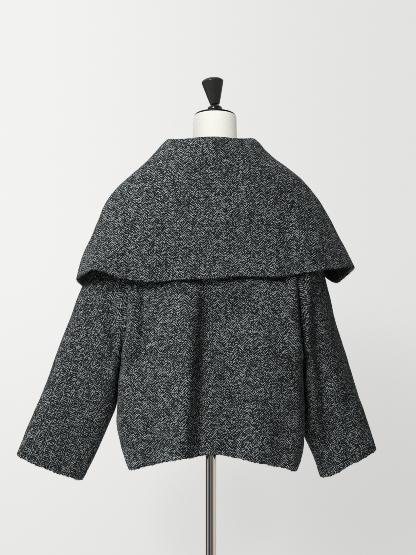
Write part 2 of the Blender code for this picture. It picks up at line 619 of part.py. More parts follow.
# ---------------------------------------------------------------- the whole
def coat():
    tweed = (0.055, 0.062, 0.064)
    sewn = {
        "coat_back": (back_grid(), False),
        "coat_front_left": (front_grid(-1), False),
        "coat_front_right": (front_grid(1), False),
        "sleeve_left": (sleeve_grid(-1), True),
        "sleeve_right": (sleeve_grid(1), True),
    }
    outward = {"coat_back": 1, "coat_front_left": -1, "coat_front_right": 1,
               "sleeve_left": 1, "sleeve_right": -1}
    normal = {n: normals_of(g, ring) * outward[n] for n, (g, ring) in sewn.items()}
    share_at_seams([(sewn[n][0], normal[n]) for n in sewn])
    for name, (grid, ring) in sewn.items():
        wall(name, draw_back(grid, ring), normal[name], -CLOTH / 2, CLOTH / 2, ring, tweed, 0.9)
    collar = mantle_grid()
    wall("mantle", collar, normals_of(collar, False), -CLOTH / 2, CLOTH / 2, False, tweed, 0.9)
    under, out = lining_of(collar, normals_of(collar, False))
    start = CLOTH / 2 + SEAM
    wall("mantle_lining", under, out, -start - LINING, -start, False,
         (0.006, 0.006, 0.007), 0.7)


coat()
form_torso()
form_top()
stand()
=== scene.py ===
"""Looks of a mantle coat on a limbless dress form: cloth shells with their creases,
herringbone tweed, black lining, covered form, lacquered top and plated stand."""
import math

import bpy
import numpy as np
from mathutils import Matrix, Vector


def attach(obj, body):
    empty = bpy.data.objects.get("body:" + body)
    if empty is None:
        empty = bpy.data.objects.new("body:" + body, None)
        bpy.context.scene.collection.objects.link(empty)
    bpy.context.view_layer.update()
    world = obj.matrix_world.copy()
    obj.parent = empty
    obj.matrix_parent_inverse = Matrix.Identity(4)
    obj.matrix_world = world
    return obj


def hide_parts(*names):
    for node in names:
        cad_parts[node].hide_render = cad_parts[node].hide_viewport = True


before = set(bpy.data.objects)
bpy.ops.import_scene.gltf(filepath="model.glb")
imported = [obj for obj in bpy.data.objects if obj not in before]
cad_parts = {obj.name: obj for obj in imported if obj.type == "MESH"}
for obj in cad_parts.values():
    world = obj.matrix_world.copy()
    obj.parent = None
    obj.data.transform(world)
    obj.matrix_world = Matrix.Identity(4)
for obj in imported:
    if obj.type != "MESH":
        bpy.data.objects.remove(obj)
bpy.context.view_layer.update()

# ---------------------------------------------------------------- sizes of the solids
CLOTH = 0.0030
LINING = 0.0012
SEAM = 0.0003
NECK_HALF = 0.095
NECK_BACK = 0.075
NECK_FRONT = 0.085
NECK_SIDE_Z = 1.356
NECK_BACK_Z = 1.362
NECK_FRONT_Z = 1.318
NECK_SHARE = 5 / 14
SHOULDER_HALF = 0.206
SHOULDER_Z = 1.284
SHOULDER_CROWN = 0.016
YOKE_SHARE = 0.20
UNDERARM_Z = 0.885
FRONT_LAP = 0.030
LAP_LIFT = 0.0045

BODY_COLUMNS = ("side_z", "left", "right", "back", "back_z", "front", "front_z", "square", "round")
BODY_LEVELS = {
    "blades":   (1.195, 0.2000, 0.2060, 0.1110, 1.243, 0.128, 1.236, 2.4, 1.7),
    "chest":    (1.090, 0.1910, 0.2000, 0.1210, 1.118, 0.140, 1.108, 2.4, 1.7),
    "waist":    (0.985, 0.1955, 0.2060, 0.1300, 1.006, 0.147, 0.996, 2.4, 1.8),
    "underarm": (0.885, 0.2125, 0.2165, 0.1370, 0.905, 0.150, 0.893, 2.4, 2.0),
    "hip":      (0.800, 0.2215, 0.2195, 0.1425, 0.825, 0.152, 0.812, 2.3, 2.0),
    "full":     (0.740, 0.2230, 0.2198, 0.1440, 0.770, 0.152, 0.757, 2.2, 2.0),
    "low":      (0.690, 0.2145, 0.2180, 0.1435, 0.727, 0.150, 0.712, 2.1, 2.0),
    "turn":     (0.650, 0.2035, 0.2120, 0.1425, 0.695, 0.148, 0.677, 2.0, 2.0),
    "hem":      (0.6215, 0.1925, 0.2010, 0.1415, 0.672, 0.146, 0.654, 1.9, 2.0),
}
ARMHOLE_COLUMNS = ("root_share", "back", "front")
ARMHOLE = {
    "underarm": (0.00, 0.000, 0.000),
    "low":      (0.57, 0.069, 0.066),
    "middle":   (0.81, 0.079, 0.076),
    "blades":   (1.00, 0.064, 0.062),
}
FOLD_COLUMNS = ("x_top", "z_top", "x_low", "z_low", "half_width", "depth")
BACK_FOLDS = {
    "centre trough": (-0.018, 1.02, -0.034, 0.66, 0.020, -0.013),
    "left ridge":    (-0.062, 1.00, -0.070, 0.66, 0.030, 0.006),
    "left trough":   (-0.152, 1.00, -0.125, 0.66, 0.022, -0.006),
    "right ridge":   (0.085, 0.98, 0.092, 0.66, 0.035, 0.005),
    "right trough":  (0.140, 1.00, 0.055, 0.66, 0.022, -0.004),
}
FRONT_FOLDS = {
    "left trough":  (-0.105, 1.00, -0.115, 0.66, 0.028, -0.008),
    "right trough": (0.110, 1.00, 0.122, 0.66, 0.028, -0.008),
}
SLEEVE_COLUMNS = ("along", "out_x", "out_z", "in_x", "in_z", "mid_y", "depth")
SLEEVE_LEFT = {
    "cap":     (0.14, -0.2500, 1.2020, -0.2200, 0.866, 0.000, 0.077),
    "upper":   (0.31, -0.3003, 1.0750, -0.2247, 0.826, 0.000, 0.070),
    "elbow":   (0.50, -0.3490, 0.9490, -0.2284, 0.776, 0.000, 0.062),
    "forearm": (0.68, -0.3920, 0.8340, -0.2530, 0.713, 0.000, 0.054),
    "lower":   (0.85, -0.4322, 0.7344, -0.2840, 0.644, 0.000, 0.047),
    "cuff":    (1.00, -0.4630, 0.6555, -0.3100, 0.5955, 0.000, 0.042),
}
SLEEVE_RIGHT = {
    "cap":     (0.14, 0.2440, 1.2000, 0.2226, 0.866, 0.006, 0.077),
    "upper":   (0.31, 0.2775, 1.0600, 0.2230, 0.826, 0.014, 0.068),
    "elbow":   (0.50, 0.3073, 0.9470, 0.2228, 0.776, 0.024, 0.060),
    "forearm": (0.68, 0.3446, 0.8325, 0.2222, 0.712, 0.034, 0.052),
    "lower":   (0.85, 0.3785, 0.7300, 0.2505, 0.645, 0.044, 0.046),
    "cuff":    (1.00, 0.4008, 0.6616, 0.2682, 0.5956, 0.050, 0.041),
}
SLEEVE_ROOT = 0.006
MANTLE_COLUMNS = ("along", "back", "back_z", "left", "left_z", "right", "right_z",
                  "front", "left_end_z", "right_end_z", "end_angle", "square")
MANTLE_ROWS = {
    "seam":     (0.00, 0.0770, 1.3655, 0.0965, 1.3615, 0.0975, 1.3615, 0.0880, 1.3285, 1.3285, 86.0, 2.00),
    "stand":    (0.07, 0.0860, 1.3890, 0.1010, 1.3845, 0.1060, 1.3855, 0.0960, 1.3480, 1.3480, 86.0, 2.00),
    "fold":     (0.13, 0.0930, 1.4070, 0.1075, 1.4060, 0.1130, 1.4075, 0.1040, 1.3680, 1.3680, 85.0, 2.00),
    "roll":     (0.17, 0.0990, 1.3970, 0.1190, 1.3960, 0.1237, 1.3985, 0.1110, 1.3530, 1.3540, 80.0, 2.00),
    "collar":   (0.22, 0.1050, 1.3785, 0.1340, 1.3777, 0.1370, 1.3805, 0.1180, 1.3350, 1.3370, 73.4, 2.05),
    "drop":     (0.28, 0.1100, 1.3555, 0.1535, 1.3565, 0.1565, 1.3615, 0.1270, 1.3130, 1.3160, 67.0, 2.10),
    "cap":      (0.37, 0.1160, 1.3215, 0.1862, 1.3290, 0.1902, 1.3373, 0.1425, 1.2800, 1.2850, 60.5, 2.15),
    "shoulder": (0.47, 0.1210, 1.2830, 0.2203, 1.2967, 0.2247, 1.3080, 0.1580, 1.2430, 1.2500, 55.5, 2.20),
    "blades":   (0.58, 0.1258, 1.2410, 0.2517, 1.2555, 0.2550, 1.2687, 0.1710, 1.2030, 1.2120, 50.0, 2.25),
    "upper":    (0.69, 0.1300, 1.1985, 0.2727, 1.2085, 0.2801, 1.2252, 0.1830, 1.1620, 1.1740, 43.4, 2.30),
    "lower":    (0.80, 0.1338, 1.1560, 0.2909, 1.1597, 0.3039, 1.1813, 0.1960, 1.1110, 1.1310, 38.6, 2.30),
    "skirt":    (0.91, 0.1373, 1.1130, 0.3082, 1.1103, 0.3286, 1.1375, 0.2080, 1.0655, 1.0905, 34.0, 2.30),
    "hem":      (1.00, 0.1405, 1.0770, 0.3213, 1.0705, 0.3455, 1.1016, 0.2200, 1.0285, 1.0570, 30.2, 2.30),
}
MANTLE_SIDE = 0.62
NECK_BOW = 0.0065
HEM_WAVE_COLUMNS = ("x", "half_width", "rise")
HEM_WAVES = {
    "left lift":  (-0.262, 0.036, 0.0165),
    "left dip":   (-0.138, 0.040, -0.0060),
    "mid lift":   (0.070, 0.040, 0.0030),
    "right dip":  (0.160, 0.045, -0.0045),
}
CORNER_SHARE = (0.07, 0.09)
FORM_COLUMNS = ("z", "half", "back", "front", "square")
FORM_LEVELS = {
    "rim":        (0.7000, 0.1460, 0.0950, 0.0960, 2.2),
    "bottom":     (0.7120, 0.1600, 0.1060, 0.1060, 2.2),
    "hip":        (0.8100, 0.1660, 0.1120, 0.1120, 2.2),
    "high hip":   (0.9100, 0.1520, 0.0980, 0.1080, 2.2),
    "waist":      (1.0200, 0.1210, 0.0780, 0.0920, 2.1),
    "ribs":       (1.1200, 0.1350, 0.0890, 0.1090, 2.2),
    "chest":      (1.2000, 0.1520, 0.0985, 0.1210, 2.2),
    "blades":     (1.2600, 0.1650, 0.0985, 0.1080, 2.2),
    "arm plate":  (1.2900, 0.1670, 0.0900, 0.0900, 2.2),
    "tip":        (1.3100, 0.1620, 0.0760, 0.0740, 2.2),
    "slope":      (1.3280, 0.1400, 0.0600, 0.0580, 2.1),
    "shoulder":   (1.3400, 0.1150, 0.0500, 0.0500, 2.0),
    "neck root":  (1.3510, 0.0850, 0.0480, 0.0500, 2.0),
    "neck base":  (1.3700, 0.0640, 0.0475, 0.0540, 2.0),
    "neck":       (1.4000, 0.0540, 0.0465, 0.0560, 2.0),
    "neck top":   (1.4650, 0.0514, 0.0460, 0.0560, 2.0),
}
NECK_SHIFT = 0.0096
NECK_TILT = math.radians(12.5)
CAP_HALF = 0.0498
CAP_RISE = 0.0070
BEAD_HALF = 0.0178
BEAD_HIGH = 0.0255
FINIAL_FOOT = 0.0118
FINIAL_TOP = 0.0264
FINIAL_HIGH = 0.0562
FINIAL_DOME = 0.0110
FINIAL_LEAN = math.radians(6)
POLE_R = 0.0127
BASE_R = 0.170
BASE_EDGE = 0.006
BASE_RISE = 0.012

# ---------------------------------------------------------------- creases of the cloth
# a crease runs down a line from its top to its low end; each side has its own width, and
# it grows and dies away over its own shares of the line; troughs are negative
CREASE_COLUMNS = ("x_top", "z_top", "x_low", "z_low", "left", "right", "depth", "grow", "die")
# how far the mantle's sides hang inside the solid's, by height
TRIM_COLUMNS = ("z", "right", "left")
MANTLE_TRIM = {
    "hem":      (1.086, 0.0015, 0.0020),
    "low":      (1.150, 0.0020, 0.0015),
    "middle":   (1.210, 0.0018, 0.0012),
    "high":     (1.266, 0.0030, 0.0014),
    "shoulder": (1.302, 0.0042, 0.0014),
    "slope":    (1.338, 0.0050, 0.0034),
    "neck":     (1.374, 0.0060, 0.0024),
    "fold":     (1.410, 0.0095, 0.0038),
}
# how far the back's hem hangs below the solid's, by place across
HEM_COLUMNS = ("x", "drop")
BACK_HEM = {
    "left side":   (-0.180, -0.0016),
    "left turn":   (-0.158, 0.0014),
    "left dip":    (-0.143, 0.0041),
    "left low":    (-0.116, 0.0041),
    "left swell":  (-0.094, 0.0016),
    "swell":       (-0.062, 0.0010),
    "trough":      (-0.039, 0.0056),
    "trough lip":  (-0.022, 0.0050),
    "middle":      (0.014, 0.0012),
    "right lip":   (0.030, 0.0038),
    "right dip":   (0.048, 0.0060),
    "right swell": (0.085, 0.0068),
    "right low":   (0.112, 0.0052),
    "right turn":  (0.140, 0.0044),
    "right end":   (0.156, 0.0014),
    "right side":  (0.184, -0.0014),
}

BACK_CREASES = {
    "centre wall":    (-0.006, 1.100, -0.031, 0.655, 0.016, 0.046, -0.0065, 0.22, 0.02),
    "centre lip":     (-0.034, 1.080, -0.0615, 0.655, 0.036, 0.017, 0.0220, 0.18, 0.02),
    "centre low":     (-0.020, 0.780, -0.030, 0.640, 0.012, 0.026, -0.0030, 0.50, 0.05),
    "upper slope":    (-0.016, 1.090, -0.022, 0.920, 0.030, 0.040, -0.0090, 0.25, 0.50),
    "centre slack":   (0.034, 1.060, 0.036, 0.660, 0.055, 0.066, -0.0255, 0.20, 0.03),
    "under the hem":  (-0.008, 1.120, -0.014, 0.990, 0.036, 0.044, -0.0030, 0.25, 0.60),
    "left under hem": (-0.168, 1.130, -0.160, 1.000, 0.034, 0.030, -0.0080, 0.30, 0.60),
    "right fill":     (0.172, 1.092, 0.176, 0.640, 0.066, 0.060, 0.0190, 0.18, 0.06),
    "left channel":   (-0.1548, 1.085, -0.1595, 0.870, 0.010, 0.016, -0.0115, 0.25, 0.35),
    "left swell":     (-0.078, 1.080, -0.092, 0.820, 0.028, 0.026, 0.0085, 0.15, 0.60),
    "left low swell": (-0.086, 0.810, -0.090, 0.640, 0.030, 0.024, 0.0050, 0.40, 0.05),
    "left low":       (-0.120, 0.860, -0.138, 0.640, 0.014, 0.018, -0.0075, 0.35, 0.10),
    "left edge":      (-0.176, 0.840, -0.170, 0.640, 0.020, 0.018, 0.0045, 0.35, 0.10),
    "right channel":  (0.150, 1.040, 0.155, 0.840, 0.020, 0.016, -0.0048, 0.30, 0.40),
    "right swell":    (0.100, 1.060, 0.094, 0.780, 0.028, 0.045, 0.0024, 0.30, 0.35),
    "right low":      (0.060, 0.860, 0.060, 0.655, 0.016, 0.018, -0.0050, 0.35, 0.05),
    "right low lip":  (0.096, 0.880, 0.092, 0.655, 0.020, 0.030, 0.0056, 0.35, 0.05),
    "right hem":      (0.150, 0.800, 0.160, 0.640, 0.016, 0.020, -0.0050, 0.40, 0.10),
}
FRONT_CREASES = {
    "left channel":   (-0.128, 1.060, -0.142, 0.700, 0.016, 0.020, -0.0135, 0.30, 0.15),
    "left swell":     (-0.086, 1.030, -0.096, 0.650, 0.024, 0.020, 0.0100, 0.30, 0.03),
    "left low":       (-0.064, 0.900, -0.058, 0.640, 0.014, 0.016, -0.0095, 0.35, 0.03),
    "right channel":  (0.132, 1.040, 0.150, 0.690, 0.020, 0.016, -0.0140, 0.30, 0.15),
    "right swell":    (0.092, 1.000, 0.098, 0.650, 0.020, 0.026, 0.0095, 0.30, 0.03),
    "right low":      (0.068, 0.880, 0.062, 0.640, 0.016, 0.014, -0.0090, 0.35, 0.03),
}
LEFT_SLEEVE_BACK = {
    "under the hem":  (-0.262, 1.140, -0.345, 0.640, 0.070, 0.055, -0.0275, 0.12, 0.60),
    "underarm fill":  (-0.2170, 0.930, -0.2270, 0.826, 0.013, 0.012, 0.0200, 0.40, 0.40),
    "inner lip":      (-0.2080, 1.060, -0.2165, 0.790, 0.011, 0.012, 0.0120, 0.20, 0.30),
    "seam channel":   (-0.221, 1.080, -0.245, 0.830, 0.016, 0.012, -0.0080, 0.20, 0.40),
    "cap channel":    (-0.268, 1.080, -0.300, 0.930, 0.014, 0.018, -0.0050, 0.20, 0.50),
    "elbow drag":     (-0.330, 0.900, -0.292, 0.800, 0.020, 0.020, -0.0050, 0.45, 0.45),
    "forearm swell":  (-0.340, 0.860, -0.395, 0.680, 0.024, 0.024, 0.0030, 0.40, 0.20),
    "cuff channel":   (-0.322, 0.740, -0.352, 0.610, 0.016, 0.018, -0.0050, 0.40, 0.05),
}
LEFT_SLEEVE_FRONT = {
    "inner channel":  (-0.240, 1.020, -0.262, 0.800, 0.016, 0.016, -0.0110, 0.25, 0.40),
    "elbow drag":     (-0.322, 0.930, -0.284, 0.840, 0.020, 0.020, -0.0090, 0.45, 0.45),
    "forearm channel": (-0.372, 0.830, -0.398, 0.640, 0.018, 0.020, -0.0080, 0.40, 0.10),
}
RIGHT_SLEEVE_BACK = {
    "main channel":   (0.2385, 1.090, 0.2430, 0.890, 0.012, 0.024, -0.0120, 0.15, 0.30),
    "lower channel":  (0.2450, 0.950, 0.2810, 0.680, 0.013, 0.030, -0.0200, 0.25, 0.20),
    "inner lip":      (0.2220, 1.060, 0.2500, 0.720, 0.012, 0.010, 0.0050, 0.20, 0.30),
    "outer fall":     (0.2860, 1.070, 0.338, 0.690, 0.026, 0.022, -0.0060, 0.20, 0.20),
    "elbow drag":     (0.300, 0.880, 0.272, 0.800, 0.022, 0.018, -0.0045, 0.45, 0.45),
    "cuff channel":   (0.326, 0.760, 0.340, 0.620, 0.018, 0.016, -0.0040, 0.40, 0.05),
}
RIGHT_SLEEVE_FRONT = {
    "inner channel":  (0.246, 1.020, 0.262, 0.760, 0.016, 0.018, -0.0110, 0.25, 0.40),
    "elbow drag":     (0.304, 0.900, 0.276, 0.810, 0.020, 0.020, -0.0055, 0.45, 0.45),
    "forearm channel": (0.336, 0.820, 0.346, 0.640, 0.018, 0.018, -0.0045, 0.40, 0.10),
}
MANTLE_BACK = {
    "left hem flare":   (-0.240, 1.190, -0.235, 1.070, 0.056, 0.044, 0.0260, 0.80, 0.05),
    "centre hem":       (-0.090, 1.150, -0.086, 1.060, 0.036, 0.034, -0.0080, 0.60, 0.05),
    "left hem channel": (-0.196, 1.185, -0.186, 1.060, 0.018, 0.022, -0.0050, 0.55, 0.02),
    "left swell":       (-0.140, 1.200, -0.146, 1.060, 0.022, 0.022, 0.0025, 0.55, 0.02),
    "left shoulder":    (-0.235, 1.230, -0.262, 1.080, 0.020, 0.020, 0.0030, 0.50, 0.05),
    "collar break":     (0.056, 1.380, 0.066, 1.290, 0.014, 0.018, -0.0030, 0.40, 0.50),
    "mid hem channel":  (0.084, 1.170, 0.090, 1.060, 0.020, 0.024, -0.0032, 0.55, 0.02),
    "right channel":    (0.172, 1.250, 0.196, 1.070, 0.022, 0.026, -0.0050, 0.45, 0.05),
    "right swell":      (0.222, 1.230, 0.262, 1.090, 0.022, 0.024, 0.0030, 0.50, 0.05),
}
# slow unevenness of all cloth: lengths in metres and heights in metres
RIPPLE_COLUMNS = ("across", "along", "turn", "high")
RIPPLES = {
    "long":   (0.190, 0.270, 0.4, 0.0012),
    "middle": (0.087, 0.140, 1.9, 0.0008),
    "short":  (0.041, 0.066, 3.3, 0.0004),
}
HEM_THICK = 0.0050       # the turned-up hems, edge to edge
HEM_REACH = 0.030        # how far up the cloth is doubled


# ---------------------------------------------------------------- curves through tables
def column(table, columns, name):
    place = columns.index(name)
    return np.array([row[place] for row in table.values()], float)


def through(knots, values, at):
    knots, values = np.asarray(knots, float), np.asarray(values, float)
    at = np.clip(np.asarray(at, float), knots[0], knots[-1])
    step = np.diff(knots)
    rise = np.diff(values) / step
    slope = np.zeros(len(knots))
    slope[0], slope[-1] = rise[0], rise[-1]
    for i in range(1, len(knots) - 1):
        if rise[i - 1] * rise[i] > 0:
            a, b = 2 * step[i] + step[i - 1], step[i] + 2 * step[i - 1]
            slope[i] = (a + b) / (a / rise[i - 1] + b / rise[i])
    k = np.clip(np.searchsorted(knots, at, side="right") - 1, 0, len(step) - 1)
    h = step[k]
    s = (at - knots[k]) / h
    return ((1 + 2 * s) * (1 - s) ** 2 * values[k] + s * (1 - s) ** 2 * h * slope[k]
            + s * s * (3 - 2 * s) * values[k + 1] + s * s * (s - 1) * h * slope[k + 1])


def ease(t):
    t = np.clip(t, 0, 1)
    return t * t * (3 - 2 * t)


def spow(v, e):
    return np.sign(v) * np.abs(v) ** e


def body(name, z):
    knots = -column(BODY_LEVELS, BODY_COLUMNS, "side_z")
    return through(knots, column(BODY_LEVELS, BODY_COLUMNS, name), -np.asarray(z))


def armhole(name, z):
    top = BODY_LEVELS["blades"][0]
    share = np.clip((np.asarray(z) - UNDERARM_Z) / (top - UNDERARM_Z), 0, 1)
    return through(column(ARMHOLE, ARMHOLE_COLUMNS, "root_share"),
                   column(ARMHOLE, ARMHOLE_COLUMNS, name), np.sqrt(share))


def top_line(c, facing):
    side, k = np.sign(c), np.abs(c)
    turn = np.clip(k / NECK_SHARE, 0, 1) * math.pi / 2
    deep = -NECK_BACK if facing == "back" else NECK_FRONT
    middle_z = NECK_BACK_Z if facing == "back" else NECK_FRONT_Z
    t = np.clip((k - NECK_SHARE) / (1 - NECK_SHARE), 0, 1)
    x = side * (NECK_HALF * np.sin(turn) + (SHOULDER_HALF - NECK_HALF) * t)
    y = deep * np.cos(turn)
    z = (NECK_SIDE_Z + (middle_z - NECK_SIDE_Z) * np.cos(turn) ** 2
         + (SHOULDER_Z - NECK_SIDE_Z) * t + SHOULDER_CROWN * 4 * t * (1 - t))
    return np.stack([x, y, z], -1)


def level_line(c, z, facing):
    s = np.sin(c * math.pi / 2)
    half = np.where(c < 0, body("left", z), body("right", z))
    sign = -1.0 if facing == "back" else 1.0
    edge, deep, low = armhole(facing, z), body(facing, z), body(facing + "_z", z)
    full = np.clip(1 - np.abs(s) ** body("square", z), 0, 1) ** (1 / body("round", z))
    y = sign * (edge + (deep - edge) * full)
    return np.stack([half * s, y, low + (z - low) * s * s], -1)


def folds(x, z, table):
    total = np.zeros(np.broadcast(x, z).shape)
    for x_top, z_top, x_low, z_low, half, depth in table.values():
        t = (z_top - z) / (z_top - z_low)
        middle = x_top + (x_low - x_top) * np.clip(t, 0, 1.2)
        total = total + depth * ease(t / 0.45) * np.exp(-((x - middle) / half) ** 2)
    return total


def panel(c, q, facing):
    c, q = np.broadcast_arrays(np.asarray(c, float), np.asarray(q, float))
    first = BODY_LEVELS["blades"][0]
    last = BODY_LEVELS["hem"][0]
    z = first + (last - first) * np.clip((q - YOKE_SHARE) / (1 - YOKE_SHARE), 0, 1)
    at = level_line(c, z, facing)
    top = top_line(c, facing)
    u = np.clip(q / YOKE_SHARE, 0, 1)
    bow = 0.35 + 0.65 * ease(np.abs(c) / 0.55)
    at[..., 0] = top[..., 0] + (at[..., 0] - top[..., 0]) * u
    at[..., 1] = top[..., 1] + (at[..., 1] - top[..., 1]) * (
        u + bow * (np.sin(u * math.pi / 2) - u))
    at[..., 2] = top[..., 2] + (at[..., 2] - top[..., 2]) * (
        u + bow * (1 - np.cos(u * math.pi / 2) - u))
    table = BACK_FOLDS if facing == "back" else FRONT_FOLDS
    out = -1.0 if facing == "back" else 1.0
    inner = ease((1 - np.abs(c)) / 0.25)
    at[..., 1] += out * inner * folds(at[..., 0], at[..., 2], table)
    return at


UNDERARM_Q = YOKE_SHARE + (1 - YOKE_SHARE) * (
    (BODY_LEVELS["blades"][0] - UNDERARM_Z)
    / (BODY_LEVELS["blades"][0] - BODY_LEVELS["hem"][0]))


def arm_q(t):
    return UNDERARM_Q * np.asarray(t, float) ** 1.3


def between(rings, places, w):
    places = np.array(places)
    rings = np.stack(rings)
    slope = np.zeros_like(rings)
    slope[0] = (rings[1] - rings[0]) / (places[1] - places[0])
    slope[-1] = (rings[-1] - rings[-2]) / (places[-1] - places[-2])
    for i in range(1, len(places) - 1):
        slope[i] = (rings[i + 1] - rings[i - 1]) / (places[i + 1] - places[i - 1])
    k = np.clip(np.searchsorted(places, w, side="right") - 1, 0, len(places) - 2)
    h = (places[k + 1] - places[k])[..., None]
    s = ((w - places[k]) / (places[k + 1] - places[k]))[..., None]
    pick = np.indices(k.shape)
    at = lambda what, n: what[(n, *pick)]
    return ((1 + 2 * s) * (1 - s) ** 2 * at(rings, k) + s * (1 - s) ** 2 * h * at(slope, k)
            + s * s * (3 - 2 * s) * at(rings, k + 1) + s * s * (s - 1) * h * at(slope, k + 1))


def sleeve(a, w, side):
    a, w = np.broadcast_arrays(np.asarray(a, float), np.asarray(w, float))
    table = SLEEVE_RIGHT if side > 0 else SLEEVE_LEFT
    t = np.where(a <= 0.5, a * 2, 2 - a * 2)
    loop = np.where((a <= 0.5)[..., None],
                    panel(np.full(a.shape, float(side)), arm_q(t), "back"),
                    panel(np.full(a.shape, float(side)), arm_q(t), "front"))
    rings, places = [loop], [0.0]
    straight = np.array([side * 0.98, 0.0, -0.2])
    rings.append(loop + SLEEVE_ROOT * straight)
    places.append(0.035)
    turn = a * 2 * math.pi
    for along, out_x, out_z, in_x, in_z, mid_y, depth in table.values():
        across = spow(np.cos(turn), 0.92)
        deep = spow(np.sin(turn), 0.92)
        rings.append(np.stack([
            (out_x + in_x) / 2 + (out_x - in_x) / 2 * across,
            mid_y - depth * deep,
            (out_z + in_z) / 2 + (out_z - in_z) / 2 * across], -1))
        places.append(along)
    return between(rings, places, w)


def spline_weights(knots, at):
    n = len(knots)
    h = np.diff(knots)
    system, right = np.eye(n), np.zeros((n, n))
    for i in range(1, n - 1):
        system[i, i - 1:i + 2] = h[i - 1], 2 * (h[i - 1] + h[i]), h[i]
        right[i, i - 1:i + 2] = 6 / h[i - 1], -6 / h[i - 1] - 6 / h[i], 6 / h[i]
    bend = np.linalg.solve(system, right)
    k = np.clip(np.searchsorted(knots, at, side="right") - 1, 0, n - 2)
    hk, unit = h[k][..., None], np.eye(n)
    left, rest = (at - knots[k])[..., None], (knots[k + 1] - at)[..., None]
    return (bend[k] * rest ** 3 / (6 * hk) + bend[k + 1] * left ** 3 / (6 * hk)
            + (unit[k] / hk - bend[k] * hk / 6) * rest
            + (unit[k + 1] / hk - bend[k + 1] * hk / 6) * left)


def neck_seam(side, theta, eta):
    turn = np.where(eta > 0, math.pi / 2 - eta, theta)
    deep = np.where(eta > 0, NECK_FRONT, -NECK_BACK)
    middle_z = np.where(eta > 0, NECK_FRONT_Z, NECK_BACK_Z)
    above = CLOTH * 0.78 + SEAM + 0.8 * LAP_LIFT * ease((eta - 0.4) / 0.5)
    z = NECK_SIDE_Z + (middle_z - NECK_SIDE_Z) * np.cos(turn) ** 2 + above
    return np.stack([side * NECK_HALF * np.sin(turn), deep * np.cos(turn), z], -1)


def mantle(u, v):
    u, v = np.broadcast_arrays(np.asarray(u, float), np.asarray(v, float))
    over = np.clip((np.abs(u) - (1 - CORNER_SHARE[0])) / CORNER_SHARE[0], 0, 1)
    v = v * (1 - CORNER_SHARE[1] * ease((v - 0.6) / 0.4) * (1 - np.sqrt(1 - over ** 2)))
    get = lambda name: through(column(MANTLE_ROWS, MANTLE_COLUMNS, "along"),
                               column(MANTLE_ROWS, MANTLE_COLUMNS, name), v)
    half = np.where(u < 0, get("left"), get("right"))
    square = 2 / get("square")
    theta = np.clip(np.abs(u) / MANTLE_SIDE, 0, 1) * math.pi / 2
    eta = (np.clip((np.abs(u) - MANTLE_SIDE) / (1 - MANTLE_SIDE), 0, 1)
           * np.radians(get("end_angle")))
    x = np.sign(u) * half * np.where(eta > 0, np.cos(eta), np.sin(theta)) ** square
    y = np.where(eta > 0, get("front") * np.sin(eta) ** square,
                 -get("back") * np.cos(theta) ** square)
    weights = spline_weights(np.array([-1, -MANTLE_SIDE, 0, MANTLE_SIDE, 1]), u)
    names = ("left_end_z", "left_z", "back_z", "right_z", "right_end_z")
    z = sum(weights[..., i] * get(name) for i, name in enumerate(names))
    z = z - NECK_BOW * ease(1 - np.abs(v - 0.13) / 0.13) * np.sin(2 * theta) ** 2
    for place, wide, rise in HEM_WAVES.values():
        behind = ease((0.03 - y) / 0.06)
        z = z + rise * ease((v - 0.70) / 0.30) * behind * np.exp(-((x - place) / wide) ** 2)
    at = np.stack([x, y, z], -1)
    meet = ease(1 - v / 0.07)[..., None]
    return at + (neck_seam(np.sign(u), theta, eta) - at) * meet


# ---------------------------------------------------------------- cloth shells
def normals_of(grid, ring):
    if ring:
        across = np.roll(grid, -1, 1) - np.roll(grid, 1, 1)
    else:
        across = np.gradient(grid, axis=1)
    along = np.gradient(grid, axis=0)
    n = np.cross(along, across)
    return n / np.maximum(np.linalg.norm(n, axis=-1, keepdims=True), 1e-12)


def creases(x, z, table):
    total = np.zeros(np.broadcast(x, z).shape)
    for x_top, z_top, x_low, z_low, left, right, depth, grow, die in table.values():
        t = (z_top - z) / (z_top - z_low)
        middle = x_top + (x_low - x_top) * np.clip(t, 0, 1.1)
        s = x - middle
        wide = np.where(s < 0, left, right)
        total = total + depth * ease(t / grow) * ease((1.08 - t) / die) * np.exp(-(s / wide) ** 2)
    return total


def ripple(u, v, shift):
    total = 0
    for across, along, turn, high in RIPPLES.values():
        total = total + high * (np.sin(2 * math.pi * u / across + turn + shift)
                                * np.cos(2 * math.pi * v / along + 1.7 * turn - shift)
                                + 0.5 * np.sin(2 * math.pi * (u / (1.7 * across) - v / (0.8 * along)) + 2.3 * turn + shift))
    return total


def wobble(s, seed):
    """Small unevenness along an edge, by length in metres."""
    rng = np.random.default_rng(seed)
    total = np.zeros_like(s)
    for length, high in ((0.052, 0.0006), (0.023, 0.0005), (0.0117, 0.0006), (0.0073, 0.0005)):
        turn, stretch = rng.uniform(0, 6.28), rng.uniform(0.9, 1.1)
        total = total + high * np.sin(2 * math.pi * s / (length * stretch) + turn)
    return total


def arc(points, axis):
    """Lengths along a grid's lines, from its first point."""
    step = np.linalg.norm(np.diff(points, axis=axis), axis=-1)
    zero = np.zeros_like(np.take(step, [0], axis=axis))
    return np.concatenate([zero, np.cumsum(step, axis=axis)], axis=axis)


def edge_paths(rows, cols, ring):
    if ring:
        return [[(0, c) for c in range(cols)] + [(0, 0)],
                [(rows - 1, c % cols) for c in range(cols, -1, -1)]]
    return [[(0, c) for c in range(cols)] + [(r, cols - 1) for r in range(1, rows)]
            + [(rows - 1, c) for c in range(cols - 2, -1, -1)]
            + [(r, 0) for r in range(rows - 2, -1, -1)]]


